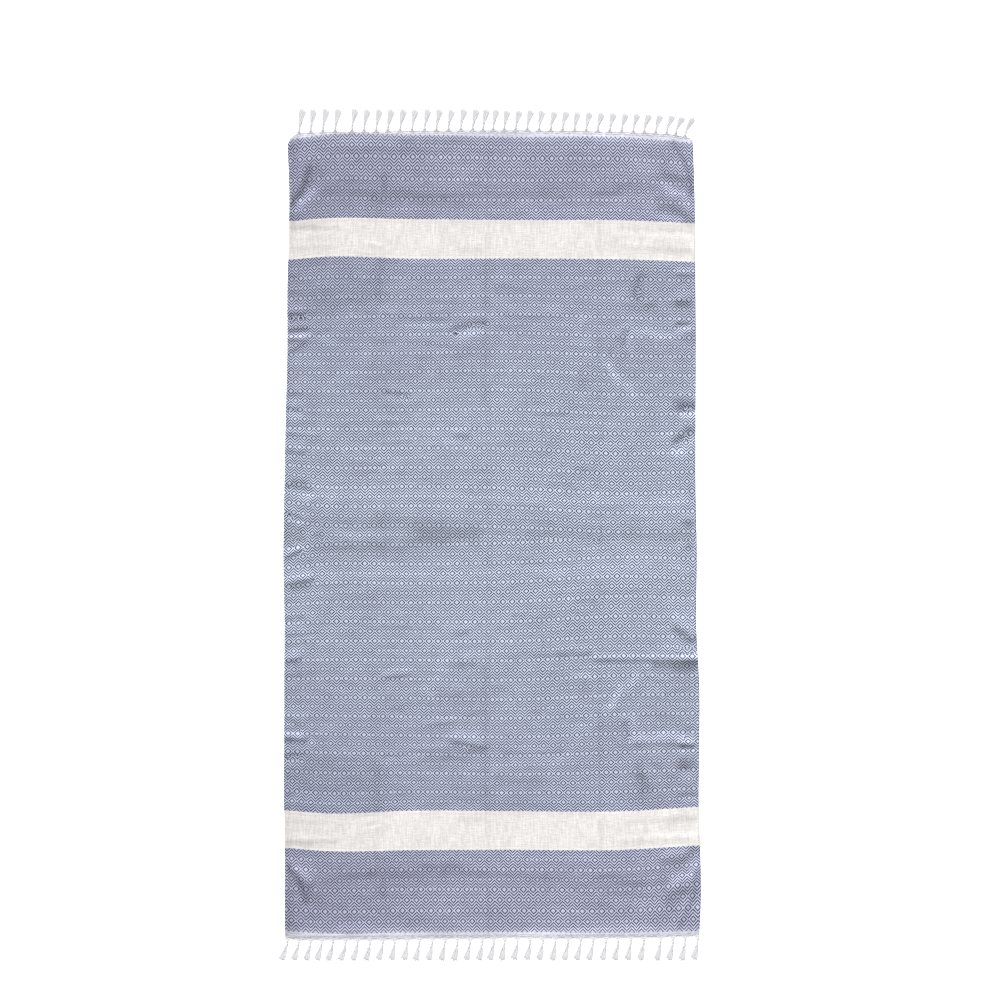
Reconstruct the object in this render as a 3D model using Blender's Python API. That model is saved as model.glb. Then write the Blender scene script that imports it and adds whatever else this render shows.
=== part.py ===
"""A flat-woven hammam towel laid out flat, with a row of twisted tassels at each end.

+X runs across the cloth, +Y along it towards the far hem, +Z up from the surface it lies on.
The origin is the middle of its footprint, on that surface. Tables are in millimetres.
"""

from collections import namedtuple

import bmesh
import bpy
import numpy as np
from mathutils import Vector

MM = 0.001

# The cloth
THICKNESS = 1.3
CLOTH_COLUMNS = 36  # over the middle of the width
CLOTH_ROWS = 54  # over the middle of the length
EDGE_ZONE, EDGE_COLUMNS = 66.0, 7  # beside each selvedge, where the cloth curls
END_ZONE, END_ROWS = 216.0, 20  # before each hem, where the cloth puckers

# How far the selvedges stand from the middle line, up the length of the cloth
Side = namedtuple("Side", "y left right")
SIDES = [
    Side(-888, -449.3, 457.8),
    Side(-800, -449.5, 461.5),
    Side(-700, -449.3, 460.6),
    Side(-600, -450.8, 457.1),
    Side(-450, -451.0, 458.4),
    Side(-340, -450.6, 458.4),
    Side(-200, -450.1, 451.6),
    Side(-50, -452.6, 452.8),
    Side(100, -450.4, 450.4),
    Side(250, -447.5, 449.7),
    Side(400, -443.8, 450.8),
    Side(550, -443.6, 449.7),
    Side(650, -440.5, 449.1),
    Side(750, -439.6, 447.9),
    Side(830, -442.3, 445.1),
    Side(880, -443.8, 443.8),
]

# Where each hem ends, across the cloth: the far one drops at both corners
Hem = namedtuple("Hem", "x y")
FAR_HEM = [
    Hem(-443.8, 853.9),
    Hem(-435.0, 866.0),
    Hem(-424.1, 874.3),
    Hem(-408.8, 877.4),
    Hem(-354.0, 879.1),
    Hem(-262.0, 880.0),
    Hem(-78.0, 882.8),
    Hem(75.0, 883.0),
    Hem(167.0, 881.9),
    Hem(259.0, 880.0),
    Hem(351.0, 877.3),
    Hem(399.0, 874.2),
    Hem(428.0, 868.5),
    Hem(443.8, 864.1),
]
NEAR_HEM = [
    Hem(-449.3, -882.8),
    Hem(-415.0, -886.7),
    Hem(-231.0, -886.1),
    Hem(-139.0, -883.9),
    Hem(-47.0, -884.3),
    Hem(45.0, -881.7),
    Hem(167.0, -883.0),
    Hem(351.0, -881.7),
    Hem(412.0, -879.1),
    Hem(457.8, -877.8),
]

# Soft ridges in the cloth: the line of each crest, how far it spreads and how high it stands
Ridge = namedtuple("Ridge", "x0 y0 x1 y1 spread height")
RIDGES = [
    # far left corner: two puckers with a furrow between them
    Ridge(-442, 742, -398, 824, 13, 6.5),
    Ridge(-428, 676, -378, 728, 15, 4.5),
    # far right corner
    Ridge(377, 741, 436, 712, 13, 5.5),
    Ridge(380, 862, 424, 826, 12, 4.0),
    # near left corner
    Ridge(-444, -708, -392, -778, 13, 6.0),
    # near right corner
    Ridge(397, -698, 446, -664, 14, 5.0),
    Ridge(388, -776, 452, -742, 13, 5.0),
    Ridge(452, -850, 455, -780, 12, 4.5),
    # the long creases that folding for the shelf leaves
    Ridge(-240, -870, -240, 870, 11, 0.9),
    Ridge(0, -870, 0, 870, 11, 0.9),
    Ridge(240, -870, 240, 870, 11, 0.9),
    # across the left selvedge
    Ridge(-437, 428, -392, 424, 15, 3.0),
    Ridge(-437, -264, -412, -266, 14, 2.5),
    Ridge(-437, -446, -408, -446, 14, 2.5),
    # across the right selvedge
    Ridge(403, 514, 420, 510, 14, 2.4),
    Ridge(408, 424, 440, 420, 15, 3.0),
    Ridge(404, 250, 438, 244, 15, 3.0),
    Ridge(406, -190, 437, -196, 15, 2.6),
    Ridge(330, -268, 448, -276, 15, 3.0),
    Ridge(364, -450, 447, -455, 15, 2.8),
    # creases in the field that run mostly across
    Ridge(-93, 455, -15, 484, 16, 2.6),
    Ridge(38, 492, 152, 482, 16, 2.2),
    Ridge(163, -254, 268, -272, 16, 2.2),
    Ridge(-95, -438, -8, -460, 16, 2.4),
    # creases in the field that run mostly along
    Ridge(318, 560, 312, 515, 16, 2.4),
    Ridge(352, 560, 344, 512, 15, 2.0),
    Ridge(275, 440, 268, 330, 18, 1.7),
    Ridge(322, -516, 336, -564, 16, 2.4),
    Ridge(276, -345, 284, -470, 18, 1.7),
]

RESTING = 0.08  # what would lift by less than this lies on the surface

# The selvedges lift a little in long waves
CURL_HEIGHT, CURL_SPREAD, CURL_WAVE = 2.2, 9.0, 310.0
HEM_LEVEL = 14.0  # within this of a hem the folds die out, so that the fringe meets a flat edge

# The fringes. A row names a tassel by its number and says where its root lies, how far its tip
# leans and where the tip ends. The tassels between two rows are spaced evenly.
Tassel = namedtuple("Tassel", "number root lean tip")
TASSELS = 34
FAR_FRINGE = [
    Tassel(0, -417.5, 5.5, 931.4),
    Tassel(3, -339.1, 6.0, 931.4),
    Tassel(4, -301.9, 6.0, 931.4),
    Tassel(14, -36.9, 5.6, 930.4),
    Tassel(16, 7.6, 6.0, 929.4),
    Tassel(18, 57.0, 6.0, 928.4),
    Tassel(24, 211.2, 6.2, 924.0),
    Tassel(28, 314.2, 8.3, 920.0),
    Tassel(31, 387.2, 10.5, 916.3),
    Tassel(33, 427.5, 17.0, 911.5),
]
NEAR_FRINGE = [
    Tassel(0, -442.5, -11.5, -931.4),
    Tassel(1, -417.5, -9.0, -931.4),
    Tassel(4, -343.3, -8.4, -931.0),
    Tassel(10, -180.6, -6.0, -931.4),
    Tassel(16, -16.3, -6.0, -931.4),
    Tassel(18, 33.6, -6.2, -931.0),
    Tassel(24, 199.0, -6.8, -931.4),
    Tassel(29, 337.1, -6.0, -931.0),
    Tassel(30, 374.8, -6.8, -931.4),
    Tassel(33, 455.5, -6.5, -931.0),
]
STRIP_GAP = 0.4  # between the cloth's edge and the strip that holds the roots
STRIP_DEPTH, ROOT_DEPTH = 1.6, 4.2  # of the strip between roots, and in the fan at a root
STRIP_HEIGHT = 2.0
STRIP_END = 9.0  # past the first and the last root
ROOT_HALF = 1.8

# A tassel from root to tip: how far along, half its width and its height
Section = namedtuple("Section", "along half height")
SECTIONS = [
    Section(0.10, 1.6, 2.8),
    Section(0.42, 1.9, 3.2),
    Section(0.70, 3.9, 4.6),
    Section(0.92, 6.0, 5.0),
    Section(1.00, 4.6, 3.4),
]
TOP_SHARE = 0.55  # of a section's width, across its top
END_SLANT = 2.6  # how much further the cut end reaches on its outer side


def clear_scene():
    for obj in list(bpy.data.objects):
        bpy.data.objects.remove(obj, do_unlink=True)


def material(name, colour, roughness):
    made = bpy.data.materials.new(name)
    made.use_nodes = True
    shader = made.node_tree.nodes["Principled BSDF"]
    shader.inputs["Base Color"].default_value = (*colour, 1.0)
    shader.inputs["Roughness"].default_value = roughness
    shader.inputs["Metallic"].default_value = 0.0
    return made


def new_object(name, bm, finish):
    mesh = bpy.data.meshes.new(name)
    bm.to_mesh(mesh)
    bm.free()
    obj = bpy.data.objects.new(name, mesh)
    obj.data.materials.append(finish)
    bpy.context.scene.collection.objects.link(obj)
    return obj


def column(table, name):
    return [getattr(row, name) for row in table]


def side_at(y, name):
    return float(np.interp(y, column(SIDES, "y"), column(SIDES, name)))


def hem_at(x, table):
    return float(np.interp(x, column(table, "x"), column(table, "y")))


def stations(low, high, zone, zone_steps, middle_steps):
    """Grid lines from low to high, close together in a zone at each end."""
    first = np.linspace(low, low + zone, zone_steps, endpoint=False)
    middle = np.linspace(low + zone, high - zone, middle_steps, endpoint=False)
    last = np.linspace(high - zone, high, zone_steps + 1)
    return np.concatenate([first, middle, last])


def ridge_height(x, y):
    """How high the soft ridges lift the cloth at a point."""
    total = 0.0
    for ridge in RIDGES:
        run = Vector((ridge.x1 - ridge.x0, ridge.y1 - ridge.y0))
        to_point = Vector((x - ridge.x0, y - ridge.y0))
        along = min(max(to_point.dot(run) / run.length_squared, 0.0), 1.0)
        distance = (to_point - run * along).length
        total = max(total, ridge.height * np.exp(-((distance / ridge.spread) ** 2)))
    return total


def curl_height(x, y, left, right):
    """How high the selvedges curl, in long waves."""
    wave = 0.5 + 0.5 * np.sin(2 * np.pi * y / CURL_WAVE + (1.0 if x < 0 else 2.6))
    from_edge = min(x - left, right - x)
    return CURL_HEIGHT * wave * np.exp(-((from_edge / CURL_SPREAD) ** 2))


def cloth_point(across, along, length):
    """Where the point at these shares of the width and the length lies."""
    y = (along - 0.5) * length
    left, right = side_at(y, "left"), side_at(y, "right")
    x = left + across * (right - left)
    near, far = hem_at(x, NEAR_HEM), hem_at(x, FAR_HEM)
    y = near + along * (far - near)
    level = min(1.0, (y - near) / HEM_LEVEL, (far - y) / HEM_LEVEL)
    lift = max(ridge_height(x, y), curl_height(x, y, left, right)) * level
    return Vector((x, y, max(lift - RESTING, 0.0))) * MM


def build_cloth(finish):
    width = SIDES[0].right - SIDES[0].left
    length = FAR_HEM[len(FAR_HEM) // 2].y - NEAR_HEM[len(NEAR_HEM) // 2].y
    across = stations(0.0, 1.0, EDGE_ZONE / width, EDGE_COLUMNS, CLOTH_COLUMNS)
    along = stations(0.0, 1.0, END_ZONE / length, END_ROWS, CLOTH_ROWS)
    columns, rows = len(across) - 1, len(along) - 1
    bm = bmesh.new()
    bmesh.ops.create_grid(bm, x_segments=columns, y_segments=rows, size=0.5)
    for vert in bm.verts:
        i = round((vert.co.x + 0.5) * columns)
        j = round((vert.co.y + 0.5) * rows)
        vert.co = cloth_point(across[i], along[j], length)
    cloth = new_object("towel_cloth", bm, finish)
    sheet = cloth.modifiers.new("thickness", "SOLIDIFY")
    sheet.thickness = THICKNESS * MM
    sheet.offset = 1.0
    cloth.data.shade_smooth()
    return cloth


def quad_strip(bm, ring_a, ring_b, leave_out=None):
    """Faces between two rings of points, but for the side that is left out."""
    count = len(ring_a)
    for side in range(count):
        if side == leave_out:
            continue
        after = (side + 1) % count
        bm.faces.new((ring_a[side], ring_a[after], ring_b[after], ring_b[side]))


def strip_ring(bm, x, depth, hem, outward):
    """The strip's four corners at a station: inner bottom, outer bottom, outer top, inner top."""
    inner = hem_at(x, hem) + outward * STRIP_GAP
    outer = inner + outward * depth
    corners = ((inner, 0.0), (outer, 0.0), (outer, STRIP_HEIGHT), (inner, STRIP_HEIGHT))
    return [bm.verts.new(Vector((x, y, z)) * MM) for y, z in corners]


def tassel_rings(bm, root_x, root_y, lean, tip_y, outward):
    """The tassel's cross-sections, each four corners that lie flat on the surface."""
    run = Vector((lean, tip_y - root_y))
    side = Vector((run.y, -run.x)).normalized() * outward
    forward = run.normalized()
    slant_side = 1.0 if lean > 0 else -1.0
    rings = []
    for section in SECTIONS:
        bend = section.along**1.6
        middle = Vector((root_x + lean * bend, root_y + run.y * section.along))
        corners = []
        for across, z in ((-1, 0), (1, 0), (TOP_SHARE, 1), (-TOP_SHARE, 1)):
            place = middle + side * (across * section.half)
            if section is SECTIONS[-1]:
                place -= forward * (END_SLANT * across * slant_side * 0.5 + END_SLANT * 0.5)
            corners.append(bm.verts.new(Vector((place.x, place.y, z * section.height)) * MM))
        rings.append(corners)
    return rings


def strip_stations(roots, hem):
    """Where the strip's corners lie and how deep it is there: two at each root, one between
    roots and one at each bend of the hem."""
    first = max(roots[0] - STRIP_END, hem[0].x + 1.0)
    last = min(roots[-1] + STRIP_END, hem[-1].x - 0.5)
    depths = {first: STRIP_DEPTH, last: STRIP_DEPTH}
    for root in roots:
        depths[root - ROOT_HALF] = depths[root + ROOT_HALF] = ROOT_DEPTH
    for root, after in zip(roots, roots[1:]):
        depths[(root + after) / 2] = STRIP_DEPTH
    places = sorted(depths)
    known = [depths[place] for place in places]
    for bend in column(hem, "x"):
        if first < bend < last and min(abs(roots - bend)) > 2 * ROOT_HALF:
            depths[bend] = float(np.interp(bend, places, known))
    return sorted(depths.items())


def grow_tassel(bm, root_face, rings):
    """Draws the four corners of a root face out through the tassel's sections."""
    for ring in rings:
        quad_strip(bm, root_face, ring)
        root_face = ring
    bm.faces.new(root_face)


def build_fringe(name, table, hem, outward, finish):
    """A strip along the hem, with a tassel drawn out of each of its root faces."""
    numbers = range(TASSELS)
    roots = np.interp(numbers, column(table, "number"), column(table, "root"))
    leans = np.interp(numbers, column(table, "number"), column(table, "lean"))
    tips = np.interp(numbers, column(table, "number"), column(table, "tip"))
    places = strip_stations(roots, hem)
    bm = bmesh.new()
    corners = [strip_ring(bm, x, depth, hem, outward) for x, depth in places]
    bm.faces.new(corners[0])
    bm.faces.new(corners[-1])
    left_of_root = {root - ROOT_HALF: number for number, root in enumerate(roots)}
    for (x, _), left, right in zip(places, corners, corners[1:]):
        number = left_of_root.get(x)
        quad_strip(bm, left, right, leave_out=None if number is None else 1)
        if number is None:
            continue
        root_y = hem_at(roots[number], hem) + outward * (STRIP_GAP + ROOT_DEPTH)
        place = (roots[number], root_y, leans[number], tips[number])
        root_face = [left[1], right[1], right[2], left[2]]
        grow_tassel(bm, root_face, tassel_rings(bm, *place, outward))
    bmesh.ops.recalc_face_normals(bm, faces=bm.faces[:])
    return new_object(name, bm, finish)


def centre_on_origin(objects):
    """Moves every mesh so that the footprint's middle is the origin."""
    corners = [vert.co for obj in objects for vert in obj.data.vertices]
    low_x, high_x = min(c.x for c in corners), max(c.x for c in corners)
    low_y, high_y = min(c.y for c in corners), max(c.y for c in corners)
    middle = Vector(((low_x + high_x) / 2, (low_y + high_y) / 2, 0.0))
    for obj in objects:
        for vert in obj.data.vertices:
            vert.co -= middle
    print("footprint", round(high_x - low_x, 4), "by", round(high_y - low_y, 4), "m")
    print("moved by", [round(value, 5) for value in middle])


def main():
    clear_scene()
    blue_weave = material("blue_weave", (0.30, 0.34, 0.44), 0.92)
    pale_yarn = material("pale_yarn", (0.72, 0.72, 0.78), 0.95)
    cloth = build_cloth(blue_weave)
    far = build_fringe("fringe_far", FAR_FRINGE, FAR_HEM, 1.0, pale_yarn)
    near = build_fringe("fringe_near", NEAR_FRINGE, NEAR_HEM, -1.0, pale_yarn)
    centre_on_origin([cloth, far, near])


main()
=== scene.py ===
# %% [markdown]
# # A hammam towel, laid out flat
#
# This notebook dresses a flat-woven hammam towel. The real one is a single length of cotton off the
# loom: a pale warp crossed by blue weft in a diamond twill, one plain cream band near each end, a
# narrow pale hem, and the warp ends twisted into a row of tassels. Each cell first says what a part
# is on the real towel and then makes it. All tables are in millimetres, measured from the middle of
# the cloth: x runs across it, y runs along it towards the far hem, and z is up.

# %% Load the frame
from collections import namedtuple

import bpy
import numpy as np
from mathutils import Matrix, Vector


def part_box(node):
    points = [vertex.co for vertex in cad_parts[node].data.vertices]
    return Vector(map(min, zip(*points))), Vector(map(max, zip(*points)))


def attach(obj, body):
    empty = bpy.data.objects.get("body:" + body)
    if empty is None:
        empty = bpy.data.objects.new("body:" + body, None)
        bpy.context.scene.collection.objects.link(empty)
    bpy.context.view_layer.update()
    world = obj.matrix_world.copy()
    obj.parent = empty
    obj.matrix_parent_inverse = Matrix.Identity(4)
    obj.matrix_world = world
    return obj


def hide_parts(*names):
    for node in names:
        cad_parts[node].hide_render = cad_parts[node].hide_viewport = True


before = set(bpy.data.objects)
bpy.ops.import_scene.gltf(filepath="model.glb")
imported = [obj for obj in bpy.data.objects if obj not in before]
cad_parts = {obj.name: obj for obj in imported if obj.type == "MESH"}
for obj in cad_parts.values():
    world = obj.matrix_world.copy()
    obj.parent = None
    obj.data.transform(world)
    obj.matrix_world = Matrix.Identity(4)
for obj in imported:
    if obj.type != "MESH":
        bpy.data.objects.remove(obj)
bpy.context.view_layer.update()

MM = 0.001

# %% [markdown]
# ## The outline
#
# Cloth never lies quite square. The selvedges wander by a few millimetres and the far hem drops at
# both corners. A drawing of this would be a smooth line through a few measured points, so that is
# what the first helper does: it reads a smooth curve at as many places as we like. We keep each
# table short, with a name for every column, so that a reader can change one number and see the
# towel follow.


# %% A smooth curve through a few points
def column(table, name):
    return np.array([getattr(row, name) for row in table], float)


def curve_through(at, places, values):
    """Reads a smooth curve through a few points. Past its ends the curve runs on straight."""
    places, values = np.asarray(places, float), np.asarray(values, float)
    slopes = np.gradient(values, places)
    first = np.clip(np.searchsorted(places, at) - 1, 0, len(places) - 2)
    step = places[first + 1] - places[first]
    t = (at - places[first]) / step
    inside = np.clip(t, 0.0, 1.0)
    low, high = values[first], values[first + 1]
    bend_low, bend_high = slopes[first] * step, slopes[first + 1] * step
    curve = (
        (2 * inside**3 - 3 * inside**2 + 1) * low
        + (inside**3 - 2 * inside**2 + inside) * bend_low
        + (3 * inside**2 - 2 * inside**3) * high
        + (inside**3 - inside**2) * bend_high
    )
    return curve + np.minimum(t, 0.0) * bend_low + np.maximum(t - 1.0, 0.0) * bend_high


# %% A smooth step and a soft hump
def smooth_step(value, low, high):
    """0 below low and 1 above high, with a smooth step between."""
    t = np.clip((value - low) / (high - low), 0.0, 1.0)
    return t * t * (3 - 2 * t)


def fall_off(distance, spread):
    """1 at no distance, dying away within two or three spreads."""
    return np.exp(-((distance / spread) ** 2))


# %% The selvedges and the hems
Side = namedtuple("Side", "y left right")
SIDES = [
    Side(-888, -449.3, 457.8),
    Side(-800, -449.5, 461.5),
    Side(-700, -449.3, 460.6),
    Side(-600, -450.8, 457.1),
    Side(-450, -451.0, 458.4),
    Side(-340, -450.6, 458.4),
    Side(-200, -450.1, 451.6),
    Side(-50, -452.6, 452.8),
    Side(100, -450.4, 450.4),
    Side(250, -447.5, 449.7),
    Side(400, -443.8, 450.8),
    Side(550, -443.6, 449.7),
    Side(650, -440.5, 449.1),
    Side(750, -439.6, 447.9),
    Side(830, -442.3, 445.1),
    Side(880, -443.8, 443.8),
]

Hem = namedtuple("Hem", "x y")
FAR_HEM = [
    Hem(-443.8, 853.9),
    Hem(-435.0, 866.0),
    Hem(-424.1, 874.3),
    Hem(-408.8, 877.4),
    Hem(-354.0, 879.1),
    Hem(-262.0, 880.0),
    Hem(-78.0, 882.8),
    Hem(75.0, 883.0),
    Hem(167.0, 881.9),
    Hem(259.0, 880.0),
    Hem(351.0, 877.3),
    Hem(399.0, 874.2),
    Hem(428.0, 868.5),
    Hem(443.8, 864.1),
]
NEAR_HEM = [
    Hem(-449.3, -882.8),
    Hem(-415.0, -886.7),
    Hem(-231.0, -886.1),
    Hem(-139.0, -883.9),
    Hem(-47.0, -884.3),
    Hem(45.0, -881.7),
    Hem(167.0, -883.0),
    Hem(351.0, -881.7),
    Hem(412.0, -879.1),
    Hem(457.8, -877.8),
]
DRAWN_IN = {"left": 1.3, "right": 0.0}  # the left selvedge has shrunk a little inside the outline


def side_at(y, name):
    return curve_through(y, column(SIDES, "y"), column(SIDES, name)) + DRAWN_IN[name]


def hem_at(x, hem):
    return np.interp(x, column(hem, "x"), column(hem, "y"))


# The solids are centred on the whole footprint, tassels included, so the tables are shifted to match
cloth_low, cloth_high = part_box("towel_cloth")
SHIFT = np.array(
    [
        cloth_low.x / MM - column(SIDES, "left").min(),
        cloth_high.y / MM - column(FAR_HEM, "y").max(),
        0.0,
    ]
)


def to_frame(points):
    """Table millimetres to frame metres."""
    return (np.asarray(points, float) + SHIFT) * MM


print("tables shifted by", SHIFT.round(2), "mm")

# %% [markdown]
# ## Where the weave runs
#
# Diamond twill repeats on a grid: diamonds in even rows sit on whole columns and those in odd rows
# sit half way between. On the loom that grid is square. On the floor it isn't: the cloth has been
# washed, folded and pulled, so rows bow and columns spread. If the pattern were painted by plain
# coordinates it would look printed. Instead we note where a few rows and columns really lie, and
# read every other place from those.
#
# Rows are counted from the nearest hem: 8 rows of diamonds, then the cream band, 4 row widths deep,
# then the field. The weaver turned the treadling round half way, so the near half mirrors the far
# one, and both halves share one table of field rows. The turn came a few picks late: the far half
# runs on past the mirror line, up to a seam where two rows of diamonds lie closer than the rest.

# %% Rows and columns of diamonds
HEM_ROWS, BAND_END = 8, 12  # the cream band lies between these two row numbers
MIRROR_Y = -1.2  # the near half is laid out as the far half's mirror image in this line
SEAM_Y = -11.8  # and this is where the one gives way to the other
ROW_STEP = 22.0  # outside the first row
ROW_PLACES = [-444, -360, -180, 60, 300, 444]

RowLine = namedtuple("RowLine", "row heights")
FIELD_ROWS = [
    RowLine(42, [-12, -21, -22, -27, -37, -37]),
    RowLine(36, [112, 104, 105, 101, 89, 95]),
    RowLine(30, [233, 231, 231, 231, 220, 222]),
    RowLine(24, [354, 354, 356, 359, 349, 348]),
    RowLine(18, [472, 475, 478, 482, 474, 471]),
]
FAR_ROWS = [
    RowLine(12, [601, 608, 604, 604, 602, 597]),
    RowLine(8, [684, 692, 690, 688, 687, 681]),
    RowLine(4, [774, 779, 778, 775, 774, 765]),
    RowLine(1, [837, 850, 851, 847, 845, 834]),
    RowLine(0, [863, 875, 875, 870, 869, 857]),
]
NEAR_ROWS = [
    RowLine(12, [-604, -611, -605, -606, -606, -597]),
    RowLine(8, [-686, -693, -691, -690, -690, -681]),
    RowLine(4, [-774, -779, -777, -777, -777, -765]),
    RowLine(1, [-844, -849, -847, -847, -847, -842]),
    RowLine(0, [-868, -873, -871, -870, -871, -868]),
]

COLUMN_NUMBERS = [-21, -12, -6, 0, 6, 12, 16, 21]
ColumnLevel = namedtuple("ColumnLevel", "y places")
COLUMN_LEVELS = [
    ColumnLevel(-860, [-445, -253, -127, -8, 119, 247, 332, 436]),
    ColumnLevel(-590, [-443, -258, -136, -15, 109, 236, 320, 426]),
    ColumnLevel(-300, [-439, -251, -133, -14, 106, 230, 313, 421]),
    ColumnLevel(0, [-440, -253, -132, -9, 114, 239, 325, 425]),
    ColumnLevel(300, [-435, -250, -133, -14, 106, 230, 312, 417]),
    ColumnLevel(590, [-433, -255, -136, -15, 109, 231, 311, 414]),
    ColumnLevel(850, [-436, -250, -126, -7, 116, 240, 321, 417]),
]


def number_between(place, lines, numbers):
    """Which number lies at a place, where neighbouring lines carry neighbouring numbers."""
    found = np.full(np.shape(place), float(numbers[0]))
    for here in range(len(lines) - 1):
        share = (place - lines[here]) / (lines[here + 1] - lines[here])
        low = -np.inf if here == 0 else 0.0
        high = np.inf if here == len(lines) - 2 else 1.0
        found += (numbers[here + 1] - numbers[here]) * np.clip(share, low, high)
    return found


def row_at(x, y, far):
    """The row number, counted from the far hem or else from the near one."""
    from_mirror = (y - MIRROR_Y) if far else (MIRROR_Y - y)
    lines = [curve_through(x, ROW_PLACES, line.heights) - MIRROR_Y for line in FIELD_ROWS]
    for line in FAR_ROWS if far else NEAR_ROWS:
        lines.append(np.abs(curve_through(x, ROW_PLACES, line.heights) - MIRROR_Y))
    lines.append(lines[-1] + ROW_STEP)
    numbers = [line.row for line in FIELD_ROWS + FAR_ROWS] + [-1]
    return number_between(from_mirror, lines, numbers)


def column_at(x, y):
    levels = column(COLUMN_LEVELS, "y")
    places = np.array([level.places for level in COLUMN_LEVELS], float)
    lines = [np.interp(y, levels, places[:, n]) for n in range(len(COLUMN_NUMBERS))]
    return number_between(x, lines, COLUMN_NUMBERS)


on_seam = (np.array([0.0]), np.array([SEAM_Y]))
print("rows at the seam:", row_at(*on_seam, far=True).round(2), row_at(*on_seam, far=False).round(2))

# %% [markdown]
# ## Folds and creases
#
# The towel was folded for the shelf and then shaken out. The corners of the end panels have drawn up
# into puckers, the selvedges are marked by short creases where the cloth was gripped, and faint
# creases run across and along the field. A sculptor would push these in one at a time. We do the
# same: each row of a table is one crease, a run through two points or more with a height. A ridge
# has a height above zero and a trough one below. The slope on either side has its own spread,
# because a fold is nearly always steeper on one side. The whole sheet rides a little above the
# floor, so troughs have depth.
#
# On the shelf the near half lay folded over the far one, so most creases were pressed through both.
# That is why one table serves twice: opened out again, a ridge in the far half has a trough for its
# counterpart in the near half, at the mirrored place.

# %% The creases of both halves
Crease = namedtuple("Crease", "points left right height")  # spreads left and right of its run
CORNER_CREASES = [
    Crease([(-428, 720), (-412, 740), (-394, 760)], 13, 14, -3.0),
    Crease([(-400, 768), (-392, 800)], 11, 20, -1.8),
    Crease([(376, 744), (410, 732), (446, 698)], 20, 18, 2.6),
    Crease([(384, 798), (420, 786)], 22, 14, 2.0),
    Crease([(368, 704), (412, 696)], 7, 9, -1.2),
    Crease([(443, 742), (437, 788), (422, 818), (404, 858)], 6, 11, -2.0),
    Crease([(234, 751), (268, 750)], 18, 7, 1.6),
]
LEFT_EDGE_CREASES = [
    Crease([(-438, 572), (-424, 570)], 10, 6, 1.6),
    Crease([(-438, 486), (-412, 485)], 13, 6, 3.6),
    Crease([(-438, 440), (-400, 444)], 8, 7, -4.6),
    Crease([(-438, 428), (-410, 430)], 6, 6, 1.8),
    Crease([(-436, 404), (-408, 421)], 10, 6, 1.6),
    Crease([(-438, 313), (-414, 313)], 14, 7, 1.6),
    Crease([(-440, 270), (-418, 267)], 7, 10, -3.8),
    Crease([(-441, 224), (-376, 217)], 5, 6, 1.5),
    Crease([(-441, 187), (-410, 184)], 12, 7, 2.2),
    Crease([(-442, 103), (-396, 94)], 8, 13, -4.0),
    Crease([(-443, 43), (-414, 29)], 6, 6, -3.2),
]
RIGHT_EDGE_CREASES = [
    Crease([(414, 572), (442, 570)], 12, 6, 2.0),
    Crease([(416, 515), (428, 515)], 14, 9, 3.6),
    Crease([(412, 457), (434, 458)], 6, 8, -3.4),
    Crease([(318, 438), (384, 427), (408, 431), (440, 446)], 10, 30, 1.4),
    Crease([(424, 270), (447, 270)], 14, 12, -6.0),
    Crease([(408, 193), (440, 217)], 12, 18, -5.0),
    Crease([(426, 31), (441, 31)], 9, 6, 1.8),
]
FIELD_CREASES = [
    Crease([(-230, 486), (-48, 468)], 9, 6, 1.3),
    Crease([(-72, 447), (-14, 458)], 8, 17, -4.0),
    Crease([(-135, 413), (-80, 404)], 7, 8, -1.5),
    Crease([(-224, 309), (-176, 302)], 6, 11, -1.9),
    Crease([(-125, 341), (-82, 338)], 12, 6, 0.8),
    Crease([(38, 482), (152, 480)], 14, 6, 1.2),
    Crease([(20, 551), (70, 541)], 14, 7, 1.0),
    Crease([(322, 516), (332, 560)], 9, 14, -2.0),
    Crease([(292, 414), (301, 446)], 6, 9, -2.6),
    Crease([(267, 390), (279, 426)], 6, 9, -1.8),
    Crease([(-212, 372), (-196, 370)], 8, 10, -1.4),
    Crease([(-245, 250), (-205, 248)], 8, 6, 0.9),
    Crease([(-70, 222), (-50, 219)], 10, 6, 1.4),
    Crease([(-96, 196), (-50, 196)], 9, 12, 1.2),
    Crease([(104, 267), (166, 268)], 12, 5, 0.7),
    Crease([(190, 147), (224, 146)], 12, 5, 0.8),
]
BAND_RIPPLES = [
    Crease([(-262, 637), (-240, 632)], 5, 6, 1.2),
    Crease([(-437, 668), (-330, 664)], 7, 8, -1.1),
    Crease([(-437, 630), (-345, 634)], 7, 7, 0.6),
    Crease([(285, 666), (440, 660)], 7, 8, -0.8),
    Crease([(300, 634), (440, 626)], 7, 7, 0.6),
]
NEAR_CREASES = [  # pulled into the near half later, when the towel was laid down
    Crease([(228, -271), (360, -271)], 8, 6, 1.9),
    Crease([(360, -272), (452, -273)], 9, 8, 3.0),
    Crease([(320, -452), (440, -456)], 12, 7, 1.4),
]
RIDE_HEIGHT = 1.3

# %% Reading the tables of creases
STEEP = 1.5  # a run that climbs this much more than it crosses counts as running along the cloth


def runs_along(line):
    (x0, y0), (x1, y1) = line.points[0], line.points[-1]
    return abs(y1 - y0) > STEEP * abs(x1 - x0)


def mirrored_x(x, y):
    """Keeps a place at its share of the width."""
    places = []
    for level in (y, 2 * MIRROR_Y - y):
        level = np.array([float(level)])
        places.append([float(side_at(level, name)[0]) for name in ("left", "right")])
    (left, right), (near_left, near_right) = places
    return near_left + (x - left) / (right - left) * (near_right - near_left)


def mirrored_line(line):
    """The same line in the near half, still run from left to right or from near to far."""
    points = [(mirrored_x(x, y), 2 * MIRROR_Y - y) for x, y in line.points]
    if runs_along(line):
        points.reverse()
    return line._replace(points=points)


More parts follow.
